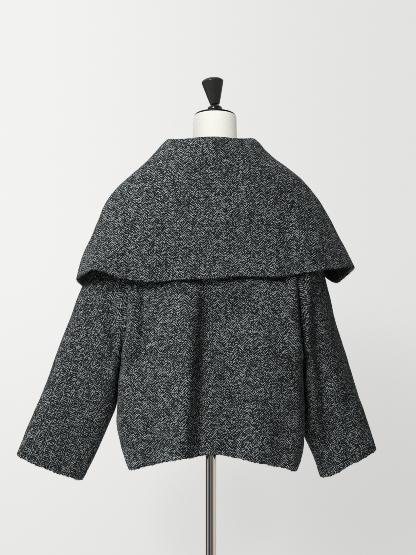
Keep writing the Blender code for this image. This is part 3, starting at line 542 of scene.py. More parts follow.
def shell(name, grid, normal, half, ring, uv, material, flip):
    """A thin closed shell with rounded edges round a grid of middle points."""
    rows, cols = grid.shape[:2]
    grid = grid.copy()
    edge = np.zeros_like(grid)
    step = np.zeros(uv.shape)

    def outwards(rim, inner):
        d = rim - inner
        return d / np.maximum(np.linalg.norm(d, axis=-1, keepdims=True), 1e-9)

    edge[0] += outwards(grid[0], grid[1])
    edge[-1] += outwards(grid[-1], grid[-2])
    step[0] += outwards(uv[0], uv[1])
    step[-1] += outwards(uv[-1], uv[-2])
    if not ring:
        edge[:, 0] += outwards(grid[:, 0], grid[:, 1])
        edge[:, -1] += outwards(grid[:, -1], grid[:, -2])
        step[:, 0] += outwards(uv[:, 0], uv[:, 1])
        step[:, -1] += outwards(uv[:, -1], uv[:, -2])
    size = np.linalg.norm(edge, axis=-1, keepdims=True)
    edge = np.where(size > 0, edge / np.maximum(size, 1e-9), 0)
    grid = grid - edge * (half[..., None] + SEAM / 2)
    points = [(grid + normal * half[..., None]).reshape(-1, 3),
              (grid - normal * half[..., None]).reshape(-1, 3)]
    one = rows * cols
    count = 2 * one
    r, c = np.meshgrid(np.arange(rows - 1), np.arange(cols if ring else cols - 1), indexing="ij")
    r, c = r.ravel(), c.ravel()
    n = (c + 1) % cols
    quads = np.stack([r * cols + c, (r + 1) * cols + c, (r + 1) * cols + n, r * cols + n], 1)
    wide = uv.shape[1]
    flat = uv.reshape(-1, 2)
    uvq = flat[np.stack([r * wide + c, (r + 1) * wide + c, (r + 1) * wide + c + 1, r * wide + c + 1], 1)]
    faces = [quads, (quads + one)[:, ::-1]]
    marks = [uvq, uvq[:, ::-1]]
    for path in edge_paths(rows, cols, ring):
        p = np.array(path)
        closed = p[:-1] if tuple(p[0]) == tuple(p[-1]) else p
        m = len(closed)
        at = grid[closed[:, 0], closed[:, 1]]
        out = edge[closed[:, 0], closed[:, 1]]
        nor = normal[closed[:, 0], closed[:, 1]]
        thick = half[closed[:, 0], closed[:, 1]][:, None]
        chain = [closed[:, 0] * cols + closed[:, 1]]
        for k in (1, 2, 3):
            phi = math.pi / 2 - k * math.pi / 4
            points.append(at + (nor * math.sin(phi) + out * math.cos(phi)) * thick)
            chain.append(count + np.arange(m))
            count += m
        chain.append(closed[:, 0] * cols + closed[:, 1] + one)
        here = flat[closed[:, 0] * wide + closed[:, 1]]
        away = step[closed[:, 0], closed[:, 1]]
        i, j = np.arange(m), (np.arange(m) + 1) % m
        for k in range(4):
            faces.append(np.stack([chain[k][i], chain[k][j], chain[k + 1][j], chain[k + 1][i]], 1))
            near, far = away * 0.0012 * k, away * 0.0012 * (k + 1)
            there = here[j]
            jump = np.linalg.norm(there - here, axis=1, keepdims=True) > 0.05
            there = np.where(jump, here, there)
            marks.append(np.stack([here + near, there + near[j], there + far[j], here + far], 1))
    faces = np.concatenate(faces)
    marks = np.concatenate(marks)
    if flip:
        faces, marks = faces[:, ::-1], marks[:, ::-1]
    ob = meshed(name, np.concatenate(points), faces, material)
    layer = ob.data.uv_layers.new(name="cloth")
    layer.data.foreach_set("uv", np.ascontiguousarray(marks, dtype=np.float32).ravel())
    return ob


def meshed(name, points, quads, material):
    mesh = bpy.data.meshes.new(name)
    points = np.ascontiguousarray(points, dtype=np.float32)
    quads = np.ascontiguousarray(quads, dtype=np.int32)
    sides = quads.shape[1]
    mesh.vertices.add(len(points))
    mesh.vertices.foreach_set("co", points.ravel())
    mesh.loops.add(quads.size)
    mesh.loops.foreach_set("vertex_index", quads.ravel())
    mesh.polygons.add(len(quads))
    mesh.polygons.foreach_set("loop_start", np.arange(len(quads), dtype=np.int32) * sides)
    mesh.update(calc_edges=True)
    mesh.validate()
    mesh.shade_smooth()
    mesh.materials.append(material)
    ob = bpy.data.objects.new(name, mesh)
    bpy.context.scene.collection.objects.link(ob)
    return ob


def spikes(name, foot, way, long, wide, material):
    """Loose fibres: one slim closed spike for each foot, along its way."""
    n = len(foot)
    helper = np.where(np.abs(way[:, 2:3]) < 0.8, np.array([[0.0, 0.0, 1.0]]), np.array([[1.0, 0.0, 0.0]]))
    a = np.cross(way, helper)
    a /= np.linalg.norm(a, axis=1, keepdims=True)
    b = np.cross(way, a)
    points = np.empty((n, 4, 3))
    for k in range(3):
        t = k * 2 * math.pi / 3
        points[:, k] = foot + (a * math.cos(t) + b * math.sin(t)) * wide[:, None]
    points[:, 3] = foot + way * long[:, None]
    first = (np.arange(n) * 4)[:, None]
    tris = np.concatenate([first + np.array([[0, 1, 3]]), first + np.array([[1, 2, 3]]),
                           first + np.array([[2, 0, 3]]), first + np.array([[0, 2, 1]])])
    return meshed(name, points.reshape(-1, 3), tris, material)


def fuzz(name, grid, normal, half, ring, seed, body_count, edge_rows, edge_step, material):
    """Nap fibres over a shell and along its cut edges."""
    rng = np.random.default_rng(seed)
    rows, cols = grid.shape[:2]
    r = rng.integers(1, rows - 2, body_count)
    c = rng.integers(0, cols if ring else cols - 1, body_count)
    s, t = rng.random((2, body_count, 1))
    n1 = (c + 1) % cols
    mix = lambda g: (g[r, c] * (1 - s) * (1 - t) + g[r + 1, c] * s * (1 - t)
                     + g[r, n1] * (1 - s) * t + g[r + 1, n1] * s * t)
    nor = mix(normal)
    foot = mix(grid) + nor * (CLOTH / 2 - 0.0002)
    way = nor * rng.uniform(0.25, 1.0, (body_count, 1)) + rng.normal(0, 0.75, (body_count, 3))
    long = rng.uniform(0.0015, 0.0042, body_count)
    feet, ways, longs = [foot], [way], [long]
    for row in edge_rows:
        line = grid[row]
        inner = grid[row + 1] if row == 0 else grid[row - 1]
        if ring:
            line = np.concatenate([line, line[:1]])
            inner = np.concatenate([inner, inner[:1]])
        length = arc(line[None], 1)[0]
        count = int(length[-1] / edge_step)
        place = np.interp(rng.uniform(0, length[-1], count), length, np.arange(len(length)))
        k = np.minimum(place.astype(int), len(length) - 2)
        f = (place - k)[:, None]
        at = line[k] * (1 - f) + line[k + 1] * f
        out = line - inner
        out /= np.linalg.norm(out, axis=1, keepdims=True)
        out = out[k]
        feet.append(at - out * 0.0010 + rng.normal(0, 0.0008, (count, 3)))
        ways.append(out * rng.uniform(0.5, 1.2, (count, 1)) + rng.normal(0, 0.55, (count, 3)))
        longs.append(rng.uniform(0.0018, 0.0046, count))
    foot, way, long = np.concatenate(feet), np.concatenate(ways), np.concatenate(longs)
    way /= np.linalg.norm(way, axis=1, keepdims=True)
    wide = rng.uniform(0.00012, 0.00024, len(foot))
    return spikes(name, foot, way, long, wide, material)


# ---------------------------------------------------------------- materials
class Net:
    """Short names for the nodes of one material."""

    def __init__(self, name):
        self.material = bpy.data.materials.new(name)
        self.material.use_nodes = True
        self.tree = self.material.node_tree
        self.shader = self.tree.nodes["Principled BSDF"]

    def put(self, socket, value):
        if isinstance(value, bpy.types.NodeSocket):
            self.tree.links.new(value, socket)
        else:
            socket.default_value = value

    def node(self, kind, **inputs):
        made = self.tree.nodes.new(kind)
        return made

    def math(self, what, a, b=None, c=None):
        made = self.tree.nodes.new("ShaderNodeMath")
        made.operation = what
        for i, value in enumerate((a, b, c)):
            if value is not None:
                self.put(made.inputs[i], value)
        return made.outputs[0]

    def vector(self, what, a, b=None, scale=None):
        made = self.tree.nodes.new("ShaderNodeVectorMath")
        made.operation = what
        self.put(made.inputs[0], a)
        if b is not None:
            self.put(made.inputs[1], b)
        if scale is not None:
            self.put(made.inputs["Scale"], scale)
        return made.outputs[0]

    def parts(self, vector):
        made = self.tree.nodes.new("ShaderNodeSeparateXYZ")
        self.put(made.inputs[0], vector)
        return made.outputs

    def joined(self, x, y, z=0.0):
        made = self.tree.nodes.new("ShaderNodeCombineXYZ")
        for i, value in enumerate((x, y, z)):
            self.put(made.inputs[i], value)
        return made.outputs[0]

    def noise(self, vector, scale, detail=2.0, rough=0.5):
        made = self.tree.nodes.new("ShaderNodeTexNoise")
        self.put(made.inputs["Vector"], vector)
        made.inputs["Scale"].default_value = scale
        made.inputs["Detail"].default_value = detail
        made.inputs["Roughness"].default_value = rough
        return made.outputs[0]

    def white(self, vector):
        made = self.tree.nodes.new("ShaderNodeTexWhiteNoise")
        made.noise_dimensions = "3D"
        self.put(made.inputs["Vector"], vector)
        return made.outputs["Value"]

    def spread(self, value, low, high, to_low, to_high, smooth=True):
        made = self.tree.nodes.new("ShaderNodeMapRange")
        made.interpolation_type = "SMOOTHSTEP" if smooth else "LINEAR"
        self.put(made.inputs[0], value)
        for i, number in enumerate((low, high, to_low, to_high)):
            made.inputs[i + 1].default_value = number
        return made.outputs[0]

    def mixed(self, share, a, b):
        made = self.tree.nodes.new("ShaderNodeMix")
        made.data_type = "RGBA"
        self.put(made.inputs["Factor"], share)
        for socket, value in zip([s for s in made.inputs if s.name in ("A", "B") and s.type == "RGBA"], (a, b)):
            self.put(socket, value)
        return [s for s in made.outputs if s.type == "RGBA"][0]

    def bump(self, height, strength, distance, under=None):
        made = self.tree.nodes.new("ShaderNodeBump")
        made.inputs["Strength"].default_value = strength
        made.inputs["Distance"].default_value = distance
        self.put(made.inputs["Height"], height)
        if under is not None:
            self.put(made.inputs["Normal"], under)
        return made.outputs[0]

    def place(self, which="Object"):
        return self.tree.nodes.new("ShaderNodeTexCoord").outputs[which]

    def uv(self, name):
        made = self.tree.nodes.new("ShaderNodeUVMap")
        made.uv_map = name
        return made.outputs[0]


# the tweed's weave, in metres
WEAVE_COLUMN = 0.0122     # width of one column of the herringbone
WEAVE_PITCH = 0.0057      # from twill line to twill line, along the grain
WEAVE_SLOPE = 1.0        # rise of the twill lines
THREAD = 0.0014


def tweed(name, shift, lightness=0.72):
    net = Net(name)
    raw = net.vector("ADD", net.uv("cloth"), (shift, shift * 0.37, 0.0))
    slow = net.noise(raw, 24.0, 1.0)
    fine = net.noise(raw, 230.0, 2.0, 0.6)
    u0, v0, _ = net.parts(raw)
    u = net.math("ADD", u0, net.math("MULTIPLY", net.math("SUBTRACT", fine, 0.5), 0.0012))
    v = net.math("ADD", v0, net.math("ADD", net.math("MULTIPLY", net.math("SUBTRACT", slow, 0.5), 0.0040),
                                     net.math("MULTIPLY", net.math("SUBTRACT", fine, 0.5), 0.0016)))
    column_at = net.math("FLOOR", net.math("DIVIDE", u, WEAVE_COLUMN))
    rise = net.math("PINGPONG", u, WEAVE_COLUMN)
    # the slanting lines break at each edge of a column
    jog = net.math("ADD", net.math("MULTIPLY", net.math("FLOORED_MODULO", column_at, 2.0), 0.5),
                   net.math("MULTIPLY", net.white(net.joined(column_at, 3.0, 1.0)), 0.30))
    even = net.math("ADD", net.math("DIVIDE", net.math("ADD", v, net.math("MULTIPLY", rise, WEAVE_SLOPE)), WEAVE_PITCH), jog)
    # each float of yarn lies a little off its line and has its own lightness
    cell = net.joined(net.math("FLOOR", net.math("ADD", even, 0.25)), column_at,
                      net.math("FLOOR", net.math("DIVIDE", rise, 0.0025)))
    turns = net.math("ADD", even, net.math("MULTIPLY", net.math("SUBTRACT", net.white(net.vector("ADD", cell, (7.3, 1.9, 4.1))), 0.5), 0.50))
    wave = net.math("SINE", net.math("MULTIPLY", turns, 2 * math.pi))
    line = net.spread(wave, -0.10, 0.66, 0.0, 1.0)
    float_tone = net.spread(net.math("POWER", net.white(cell), 1.25), 0.0, 1.0, 0.14, 1.60, False)
    speck = net.spread(net.noise(raw, 430.0, 2.0, 0.6), 0.36, 0.64, 0.25, 1.55)
    patch = net.spread(net.noise(raw, 62.0, 2.0, 0.55), 0.30, 0.70, 0.62, 1.34)
    streak = net.spread(net.noise(net.joined(net.math("MULTIPLY", u0, 420.0), net.math("MULTIPLY", v0, 16.0)), 1.0, 1.0),
                        0.30, 0.70, 0.58, 1.36)
    cloud = net.spread(net.noise(raw, 21.0, 1.0), 0.30, 0.70, 0.86, 1.14)
    tone = net.math("MULTIPLY", net.math("MULTIPLY", line, net.math("MULTIPLY", float_tone, cloud)),
                    net.math("MULTIPLY", speck, net.math("MULTIPLY", patch, streak)))
    nub = net.spread(net.noise(raw, 300.0, 1.0), 0.70, 0.80, 0.0, 0.55)
    tone = net.math("MINIMUM", net.math("ADD", tone, nub), 1.45)
    ground = net.mixed(net.noise(raw, 520.0, 2.0), (0.0020, 0.0026, 0.0028, 1), (0.0085, 0.0104, 0.0110, 1))
    yarn = net.mixed(net.noise(raw, 95.0, 2.0), (0.430, 0.482, 0.496, 1), (0.475, 0.526, 0.530, 1))
    colour = net.mixed(net.math("MULTIPLY", tone, lightness), ground, yarn)
    net.put(net.shader.inputs["Base Color"], colour)
    net.put(net.shader.inputs["Roughness"], net.spread(speck, 0.35, 1.35, 0.96, 0.84, False))
    net.shader.inputs["Specular IOR Level"].default_value = 0.10
    net.shader.inputs["Sheen Weight"].default_value = 0.04
    net.shader.inputs["Sheen Roughness"].default_value = 0.45
    thread = net.math("PINGPONG", u, THREAD / 2)
    height = net.math("ADD", net.math("MULTIPLY", line, 0.7),
                      net.math("ADD", net.math("MULTIPLY", speck, 0.35), net.math("MULTIPLY", thread, 300.0)))
    net.put(net.shader.inputs["Normal"], net.bump(height, 0.55, 0.0007))
    return net.material


def fibre(name):
    net = Net(name)
    at = net.place()
    light = net.spread(net.noise(at, 900.0, 1.0), 0.42, 0.62, 0.0, 1.0)
    net.put(net.shader.inputs["Base Color"], net.mixed(light, (0.010, 0.011, 0.011, 1), (0.20, 0.21, 0.21, 1)))
    net.put(net.shader.inputs["Roughness"], net.spread(light, 0.0, 1.0, 0.9, 0.75, False))
    net.shader.inputs["Specular IOR Level"].default_value = 0.2
    return net.material


def lining_cloth(name):
    net = Net(name)
    at = net.uv("cloth")
    u, v, _ = net.parts(at)
    twill = net.math("SINE", net.math("MULTIPLY", net.math("ADD", u, v), 2 * math.pi / 0.0011))
    cloudy = net.noise(at, 45.0, 2.0)
    net.put(net.shader.inputs["Base Color"], net.mixed(cloudy, (0.0012, 0.0014, 0.0014, 1), (0.0030, 0.0033, 0.0034, 1)))
    net.put(net.shader.inputs["Roughness"], net.spread(cloudy, 0.3, 0.7, 0.62, 0.76))
    net.shader.inputs["Specular IOR Level"].default_value = 0.12
    net.put(net.shader.inputs["Normal"], net.bump(twill, 0.10, 0.0002))
    return net.material


def jersey(name):
    net = Net(name)
    at = net.place()
    x, y, z = net.parts(at)
    around = net.math("MULTIPLY", net.math("ARCTAN2", y, x), 0.055)
    wale = net.math("SINE", net.math("MULTIPLY", around, 2 * math.pi / 0.0013))
    course = net.math("SINE", net.math("MULTIPLY", z, 2 * math.pi / 0.0011))
    cloudy = net.noise(at, 30.0, 3.0)
    net.put(net.shader.inputs["Base Color"], net.mixed(cloudy, (0.690, 0.684, 0.632, 1), (0.720, 0.716, 0.664, 1)))
    net.put(net.shader.inputs["Roughness"], net.spread(cloudy, 0.3, 0.7, 0.78, 0.9))
    net.shader.inputs["Specular IOR Level"].default_value = 0.25
    net.shader.inputs["Sheen Weight"].default_value = 0.1
    net.put(net.shader.inputs["Normal"], net.bump(net.math("ADD", wale, course), 0.12, 0.0002))
    return net.material


def lacquer(name, tone, rough_low, rough_high, coat, gloss):
    net = Net(name)
    at = net.place()
    wear = net.noise(at, 70.0, 4.0, 0.6)
    grain = net.noise(net.vector("MULTIPLY", at, (420.0, 420.0, 60.0)), 1.0, 2.0)
    dark = tuple(t * 0.7 for t in tone) + (1,)
    pale = tuple(t * 1.35 for t in tone) + (1,)
    net.put(net.shader.inputs["Base Color"], net.mixed(wear, dark, pale))
    net.put(net.shader.inputs["Roughness"], net.spread(wear, 0.3, 0.7, rough_low, rough_high))
    net.shader.inputs["Specular IOR Level"].default_value = gloss
    net.shader.inputs["Coat Weight"].default_value = coat
    net.shader.inputs["Coat Roughness"].default_value = 0.08
    net.put(net.shader.inputs["Normal"], net.bump(grain, 0.06, 0.0002))
    return net.material


def plated(name):
    net = Net(name)
    at = net.place()
    smear = net.noise(at, 18.0, 4.0, 0.6)
    brush = net.noise(net.vector("MULTIPLY", at, (900.0, 900.0, 14.0)), 1.0, 2.0)
    net.put(net.shader.inputs["Base Color"], net.mixed(smear, (0.80, 0.79, 0.77, 1), (0.90, 0.90, 0.90, 1)))
    net.shader.inputs["Metallic"].default_value = 1.0
    net.put(net.shader.inputs["Roughness"], net.spread(smear, 0.3, 0.7, 0.045, 0.11))
    net.put(net.shader.inputs["Normal"], net.bump(brush, 0.03, 0.0002))
    return net.material


# ---------------------------------------------------------------- cloth pieces
TWEED_BODY = tweed("tweed_body", 0.0)
# the sleeves' tweed is made darker than the body's (lightness 0.622 and 0.672 against 0.72): painted shade on the
# sleeves
TWEED_LEFT_SHADED = tweed("tweed_left_shaded", 1.31, 0.622)
TWEED_RIGHT_SHADED = tweed("tweed_right_shaded", 2.77, 0.672)
TWEED_MANTLE = tweed("tweed_mantle", 4.19)
FIBRE = fibre("tweed_fibre")
BLACK_LINING = lining_cloth("black_lining")

PANEL_ROWS = np.concatenate([
    arm_q(np.linspace(0, 1, 86)),
    UNDERARM_Q + (1 - UNDERARM_Q) * np.linspace(0, 1, 66)[1:]])


def thickened(along_from_hem):
    """Half the shell's thickness: doubled cloth near a hem."""
    return CLOTH / 2 + (HEM_THICK - CLOTH) / 2 * ease((HEM_REACH - along_from_hem) / 0.006)


def seam_forward(z, side):
    """How far the back's armhole seam is drawn out behind, by height."""
    return (0.019 if side > 0 else 0.013) * ease((z - UNDERARM_Z) / 0.05) * ease((1.20 - z) / 0.10)


def body_piece(name, c, facing, sign, table, material, seed, lift=None):
    at = panel(c[None, :], PANEL_ROWS[:, None], facing)
    if facing == "back":
        side = np.sign(c)[None, :]
        drawn = np.where(side > 0, seam_forward(at[..., 2], 1), seam_forward(at[..., 2], -1))
        at[..., 1] -= drawn * ease((np.abs(c)[None, :] - 0.55) / 0.30)
        # below the armholes the back turns more closely to the side seams
        beyond = np.abs(c)[None, :] - 0.78
        turn = np.where(side > 0, 0.026, 0.024) * np.exp(-(beyond / np.where((side > 0) & (beyond > 0), 0.18, 0.14)) ** 2)
        below = ease((UNDERARM_Z + 0.065 - at[..., 2]) / 0.06)
        at[..., 1] -= turn * ease((1 - np.abs(c)[None, :]) / 0.1) * below
        at[..., 0] += side * 0.0032 * np.exp(-((np.abs(c)[None, :] - 0.86) / 0.07) ** 2) * below
    normal = normals_of(at, False) * sign
    if lift is not None:
        at = at + normal * lift(at)[..., None]
    inner = ease((1 - np.abs(c)) / 0.16)[None, :]
    u = arc(at[..., :2], 1)
    middle = int(np.argmin(np.abs(c)))
    u = u - u[:, middle:middle + 1]
    if c[0] > c[-1]:
        u = -u
    v = 1.40 - at[..., 2]
    fold = creases(at[..., 0], at[..., 2], table) * inner
    push = ripple(u, v, seed * 1.3) * ease((1.30 - at[..., 2]) / 0.2) * inner
    if facing == "front":
        # the two fronts lie calm on each other where they lap
        push = push * ease((np.abs(at[..., 0]) - 0.045) / 0.03)
    at = at + normal * push[..., None]
    at[..., 1] += fold * (1 if facing == "front" else -1)
    up = (arc(at, 0)[-1:] - arc(at, 0))
    hem = ease((0.010 - up) / 0.010)
    at[..., 2] -= wobble(u, seed) * hem
    if facing == "front":
        # the neck edge reaches up to the collar's seam
        rise = at[0] - at[2]
        rise /= np.linalg.norm(rise, axis=-1, keepdims=True)
        reach = (0.0018 if lift is not None else 0.0038) * ease((0.094 - np.abs(at[0, :, 0])) / 0.02)
        at = at + rise[None] * (reach[None, :] * ease((0.03 - arc(at, 0)) / 0.03))[..., None]
    if facing == "back":
        drop = np.interp(at[-1, :, 0], column(BACK_HEM, HEM_COLUMNS, "x"), column(BACK_HEM, HEM_COLUMNS, "drop"))
        at[..., 2] -= drop[None, :] * ease((0.06 - up) / 0.06)
    normal = normals_of(at, False) * sign
    half = thickened(up)
    uv = np.stack([u + (0.0074 if lift is not None else 0.0), v], -1)
    ob = shell(name + "_cloth", at, normal, half, False, uv, material, sign < 0)
    hair = fuzz(name + "_nap", at, normal, half, False, seed, 5200, [at.shape[0] - 1], 0.0009, FIBRE)
    return ob, hair, at


def sleeve_piece(name, side, sign, back, front, material, seed):
    steps = np.concatenate([np.linspace(0, 0.07, 9), np.linspace(0.07, 1, 132)[1:]])
    count = 112
    a = np.arange(count) / count
    at = sleeve(a[None, :], steps[:, None], side)
    plain = at.copy()
    behind = ease(np.sin(a * 2 * math.pi) / 0.25)[None, :]
    at[..., 1] -= seam_forward(at[..., 2], side) * behind * ease((0.22 - steps) / 0.22)[:, None]
    # the sleeve is full behind, with a close turn at its inner edge
    begin, rise = (0.01, 0.12) if side > 0 else (0.10, 0.20)
    full_behind = (0.023 if side > 0 else 0.020) * ease((steps - begin) / rise) * ease((0.97 - steps) / 0.40)
    at[..., 1] -= full_behind[:, None] * (ease(a / 0.20) * ease((0.5 - a) / 0.065))[None, :]
    # the inner edge rests on the coat's side
    close_by = np.exp(-((a - 0.5) / 0.045) ** 2)[None, :] * ease((0.62 - steps) / 0.1)[:, None] * ease((steps - 0.03) / 0.05)[:, None]
    low = np.exp(-((at[..., 2] - 0.880) / 0.010) ** 2) * np.exp(-((a - 0.5) / 0.06) ** 2)[None, :]
    at[..., 0] -= side * (0.0009 * close_by + (0.0017 if side < 0 else 0.0006) * low)
    if side < 0:
        at[..., 0] += 0.0028 * np.exp(-((a - 0.452) / 0.030) ** 2)[None, :] * np.exp(-((at[..., 2] - 0.876) / 0.032) ** 2)
        at[..., 0] -= 0.0008 * np.exp(-((a - 0.5) / 0.05) ** 2)[None, :] * np.exp(-((at[..., 2] - 0.800) / 0.018) ** 2)
    else:
        at[..., 0] += 0.0026 * np.exp(-((a - 0.455) / 0.050) ** 2)[None, :] * np.exp(-((at[..., 2] - 0.742) / 0.034) ** 2)
    # the head keeps clear of the armhole's edge
    away = at[3] - at[0]
    away /= np.linalg.norm(away, axis=-1, keepdims=True)
    at = at + away[None] * (0.0011 * ease((0.024 - steps) / 0.024))[:, None, None]
    normal = normals_of(at, True) * sign
    wave = np.sin(a * 2 * math.pi)[None, :]
    close = ease((steps - 0.02) / 0.10)[:, None]
    at[..., 1] += (creases(at[..., 0], at[..., 2], front) * ease(-wave / 0.55)
                   - creases(at[..., 0], at[..., 2], back) * ease(wave / 0.45)) * close
    closed = np.concatenate([at, at[:, :1]], 1)
    u = arc(closed, 1)
    full = u[:, -1:]
    outer = np.where(u > full / 2, u - full, u)
    v_line = arc(at, 0).mean(1)
    v = np.repeat(v_line[:, None], count + 1, 1)
    push = ripple(u[:, :-1] * 2 * math.pi / full * 0.06, v[:, :-1], seed) * close * ease(np.abs(a - 0.5) / 0.12)[None, :]
    at = at + normal * push[..., None]
    up = v_line[-1] - v_line
    hem = ease((0.010 - up) / 0.010)[:, None]
    tail = (at[-1] - at[-6])
    tail /= np.linalg.norm(tail, axis=-1, keepdims=True)
    bulge = 0.0018 * np.sin(np.clip(a * 2, 0, 1) * math.pi)
    if side > 0:
        bulge = bulge + 0.0046 * np.exp(-((a - 0.37) / 0.075) ** 2)
    at = at + tail[None] * ((wobble(u[-1:, :-1], seed) * hem) + bulge[None, :] * ease((0.06 - up) / 0.06)[:, None])[..., None]
    normal = normals_of(at, True) * sign
    half = np.repeat(thickened(up)[:, None], count, 1)
    # the grain runs along the sleeve; the join of the wrap lies on the inner seam
    axis = (at[-1].mean(0) - at[40].mean(0)) * np.array([1.0, 0.0, 1.0])
    axis /= np.linalg.norm(axis)
    flat = np.stack([plain @ np.array([-axis[2], 0.0, axis[0]]), plain[..., 1]], -1)
    turns = arc(np.concatenate([flat, flat[:, :1]], 1), 1)
    whole = turns[:, -1:]
    shift = count // 2
    order = (np.arange(count) + shift) % count
    signed = np.where(np.arange(count) >= shift, turns[:, :-1] - whole, turns[:, :-1])
    wrap = np.concatenate([signed[:, order], turns[:, shift:shift + 1]], 1)
    grain = (at @ axis)[:, order]
    uv = np.stack([wrap, np.concatenate([grain, grain[:, :1]], 1)], -1)
    at, normal, half = at[:, order], normal[:, order], half[:, order]
    ob = shell(name + "_cloth", at, normal, half, True, uv, material, sign < 0)
    hair = fuzz(name + "_nap", at, normal, half, True, seed, 5200, [at.shape[0] - 1], 0.0009, FIBRE)
    return ob, hair, at


def mantle_uv(at):
    """Flat cut of the mantle: a sector with its grain along the centre back."""
    rows, cols = at.shape[:2]
    middle = cols // 2
    across = arc(at, 1)
    across = across - across[:, middle:middle + 1]
    down = arc(at[:, middle:middle + 1], 0)[:, 0]
    radius = 0.235 + down
    angle = across / radius[:, None]
    return np.stack([radius[:, None] * np.sin(angle), radius[:, None] * np.cos(angle)], -1)


def mantle_surface(u, v):
    at = mantle(u[None, :], v[:, None])
    for side, name in ((1, "right"), (-1, "left")):
        trim = np.interp(at[..., 2], column(MANTLE_TRIM, TRIM_COLUMNS, "z"), column(MANTLE_TRIM, TRIM_COLUMNS, name))
        at[..., 0] -= side * trim * ease(side * at[..., 0] / 0.09) * ease(v / 0.08)[:, None]
    normal = normals_of(at, False)
    behind = ease((0.02 - at[..., 1]) / 0.05)
    push = creases(at[..., 0], at[..., 2], MANTLE_BACK) * behind
    push = push + 0.8 * ripple(0.66 * u[None, :], 0.40 * v[:, None], 0.7) * ease((v - 0.2) / 0.3)[:, None]
    return at + normal * push[..., None]


def mantle_pieces():
    near = 1 - CORNER_SHARE[0]
    bend = CORNER_SHARE[0] * (1 - np.cos(np.linspace(0, math.pi / 2, 13)))[::-1]
    side = np.concatenate([np.linspace(0, near, 138)[:-1], np.sort(1 - bend)])
    u = np.concatenate([-side[:0:-1], side])
    v = np.concatenate([np.linspace(0, 0.07, 7)[:-1], np.linspace(0.07, 0.20, 27)[:-1],
                        np.linspace(0.20, 1.0, 84)])
    at = mantle_surface(u, v)
    normal = normals_of(at, False)
    up = arc(at, 0)[-1:] - arc(at, 0)
    hem = ease((0.010 - up) / 0.010)
    along = arc(at, 1)
    fall = at[-1] - at[-4]
    fall /= np.linalg.norm(fall, axis=-1, keepdims=True)
    at = at + fall[None] * (0.35 * wobble(along, 71) * hem)[..., None]
    normal = normals_of(at, False)
    sides = np.minimum(along, along[:, -1:] - along)
    half = np.maximum(thickened(up), thickened(sides)) * (1 - 0.25 * ease((0.10 - v) / 0.1))[:, None]
    ob = shell("mantle_cloth", at, normal, half, False, mantle_uv(at), TWEED_MANTLE, False)
    hair = fuzz("mantle_nap", at, normal, half, False, 71, 8200, [at.shape[0] - 1], 0.0008, FIBRE)
    inner_u = u[(np.abs(u) < 0.990)]
    inner_v = np.concatenate([np.linspace(0.22, 0.93, 52), np.linspace(0.93, 0.984, 10)[1:]])
    under = mantle_surface(inner_u, inner_v)
    out = normals_of(under, False)
    deep = np.where(inner_v > 0.9, 1.0, 0.0)
    low = np.maximum(0.0010 * ease((inner_v - 0.80) / 0.12)[:, None], 0.0014 * ease((np.abs(inner_u) - 0.94) / 0.03)[None, :])
    under = under - out * (CLOTH / 2 + SEAM + LINING / 2 + low[..., None])
    thin = np.full(under.shape[:2], LINING / 2)
    lining = shell("mantle_lining_cloth", under, out, thin, False, mantle_uv(under), BLACK_LINING, False)
    return ob, hair, lining, at, under


def area_of(at, ring):
    if ring:
        at = np.concatenate([at, at[:, :1]], 1)
    a = np.cross(at[1:, :-1] - at[:-1, :-1], at[:-1, 1:] - at[:-1, :-1])
    b = np.cross(at[1:, :-1] - at[1:, 1:], at[:-1, 1:] - at[1:, 1:])
    wide = arc(at, 1)[:, -1].max()
    tall = arc(at, 0)[-1].max()
    return float((np.linalg.norm(a, axis=-1) + np.linalg.norm(b, axis=-1)).sum() / 2), float(wide), float(tall)


edge_c = lambda n: np.sin(np.linspace(-1, 1, n) * math.pi / 2) * 0.35 + np.linspace(-1, 1, n) * 0.65
back_cloth, back_nap, back_at = body_piece("coat_back", np.linspace(-1, 1, 171), "back", 1, BACK_CREASES, TWEED_BODY, 11)
past = -(2 / math.pi) * math.asin(FRONT_LAP / SHOULDER_HALF)
front_c = np.concatenate([np.linspace(1, 0, 84), np.linspace(0, past, 12)[1:]])
left_cloth, left_nap, left_at = body_piece("coat_front_left", -front_c, "front", -1, FRONT_CREASES, TWEED_BODY, 23)
right_cloth, right_nap, right_at = body_piece(
    "coat_front_right", front_c, "front", 1, FRONT_CREASES, TWEED_BODY, 37,
    lambda at: ((LAP_LIFT + 0.0024 * ease((0.700 - at[..., 2]) / 0.03)) * ease((0.085 - at[..., 0]) / 0.040)
                + 0.0036 * ease((-0.008 - at[..., 0]) / 0.024)))
sleeve_l, sleeve_l_nap, sleeve_l_at = sleeve_piece("sleeve_left", -1, 1, LEFT_SLEEVE_BACK, LEFT_SLEEVE_FRONT, TWEED_LEFT_SHADED, 41)
sleeve_r, sleeve_r_nap, sleeve_r_at = sleeve_piece("sleeve_right", 1, -1, RIGHT_SLEEVE_BACK, RIGHT_SLEEVE_FRONT, TWEED_RIGHT_SHADED, 53)
mantle_cloth, mantle_nap, lining, mantle_at, lining_at = mantle_pieces()

for what, at, ring in (("back", back_at, False), ("left", left_at, False), ("right", right_at, False),
                       ("sleeve_l", sleeve_l_at, True), ("sleeve_r", sleeve_r_at, True),
                       ("mantle", mantle_at, False), ("lining", lining_at, False)):
    print("CUT", what, ["%.4f" % n for n in area_of(at, ring)])


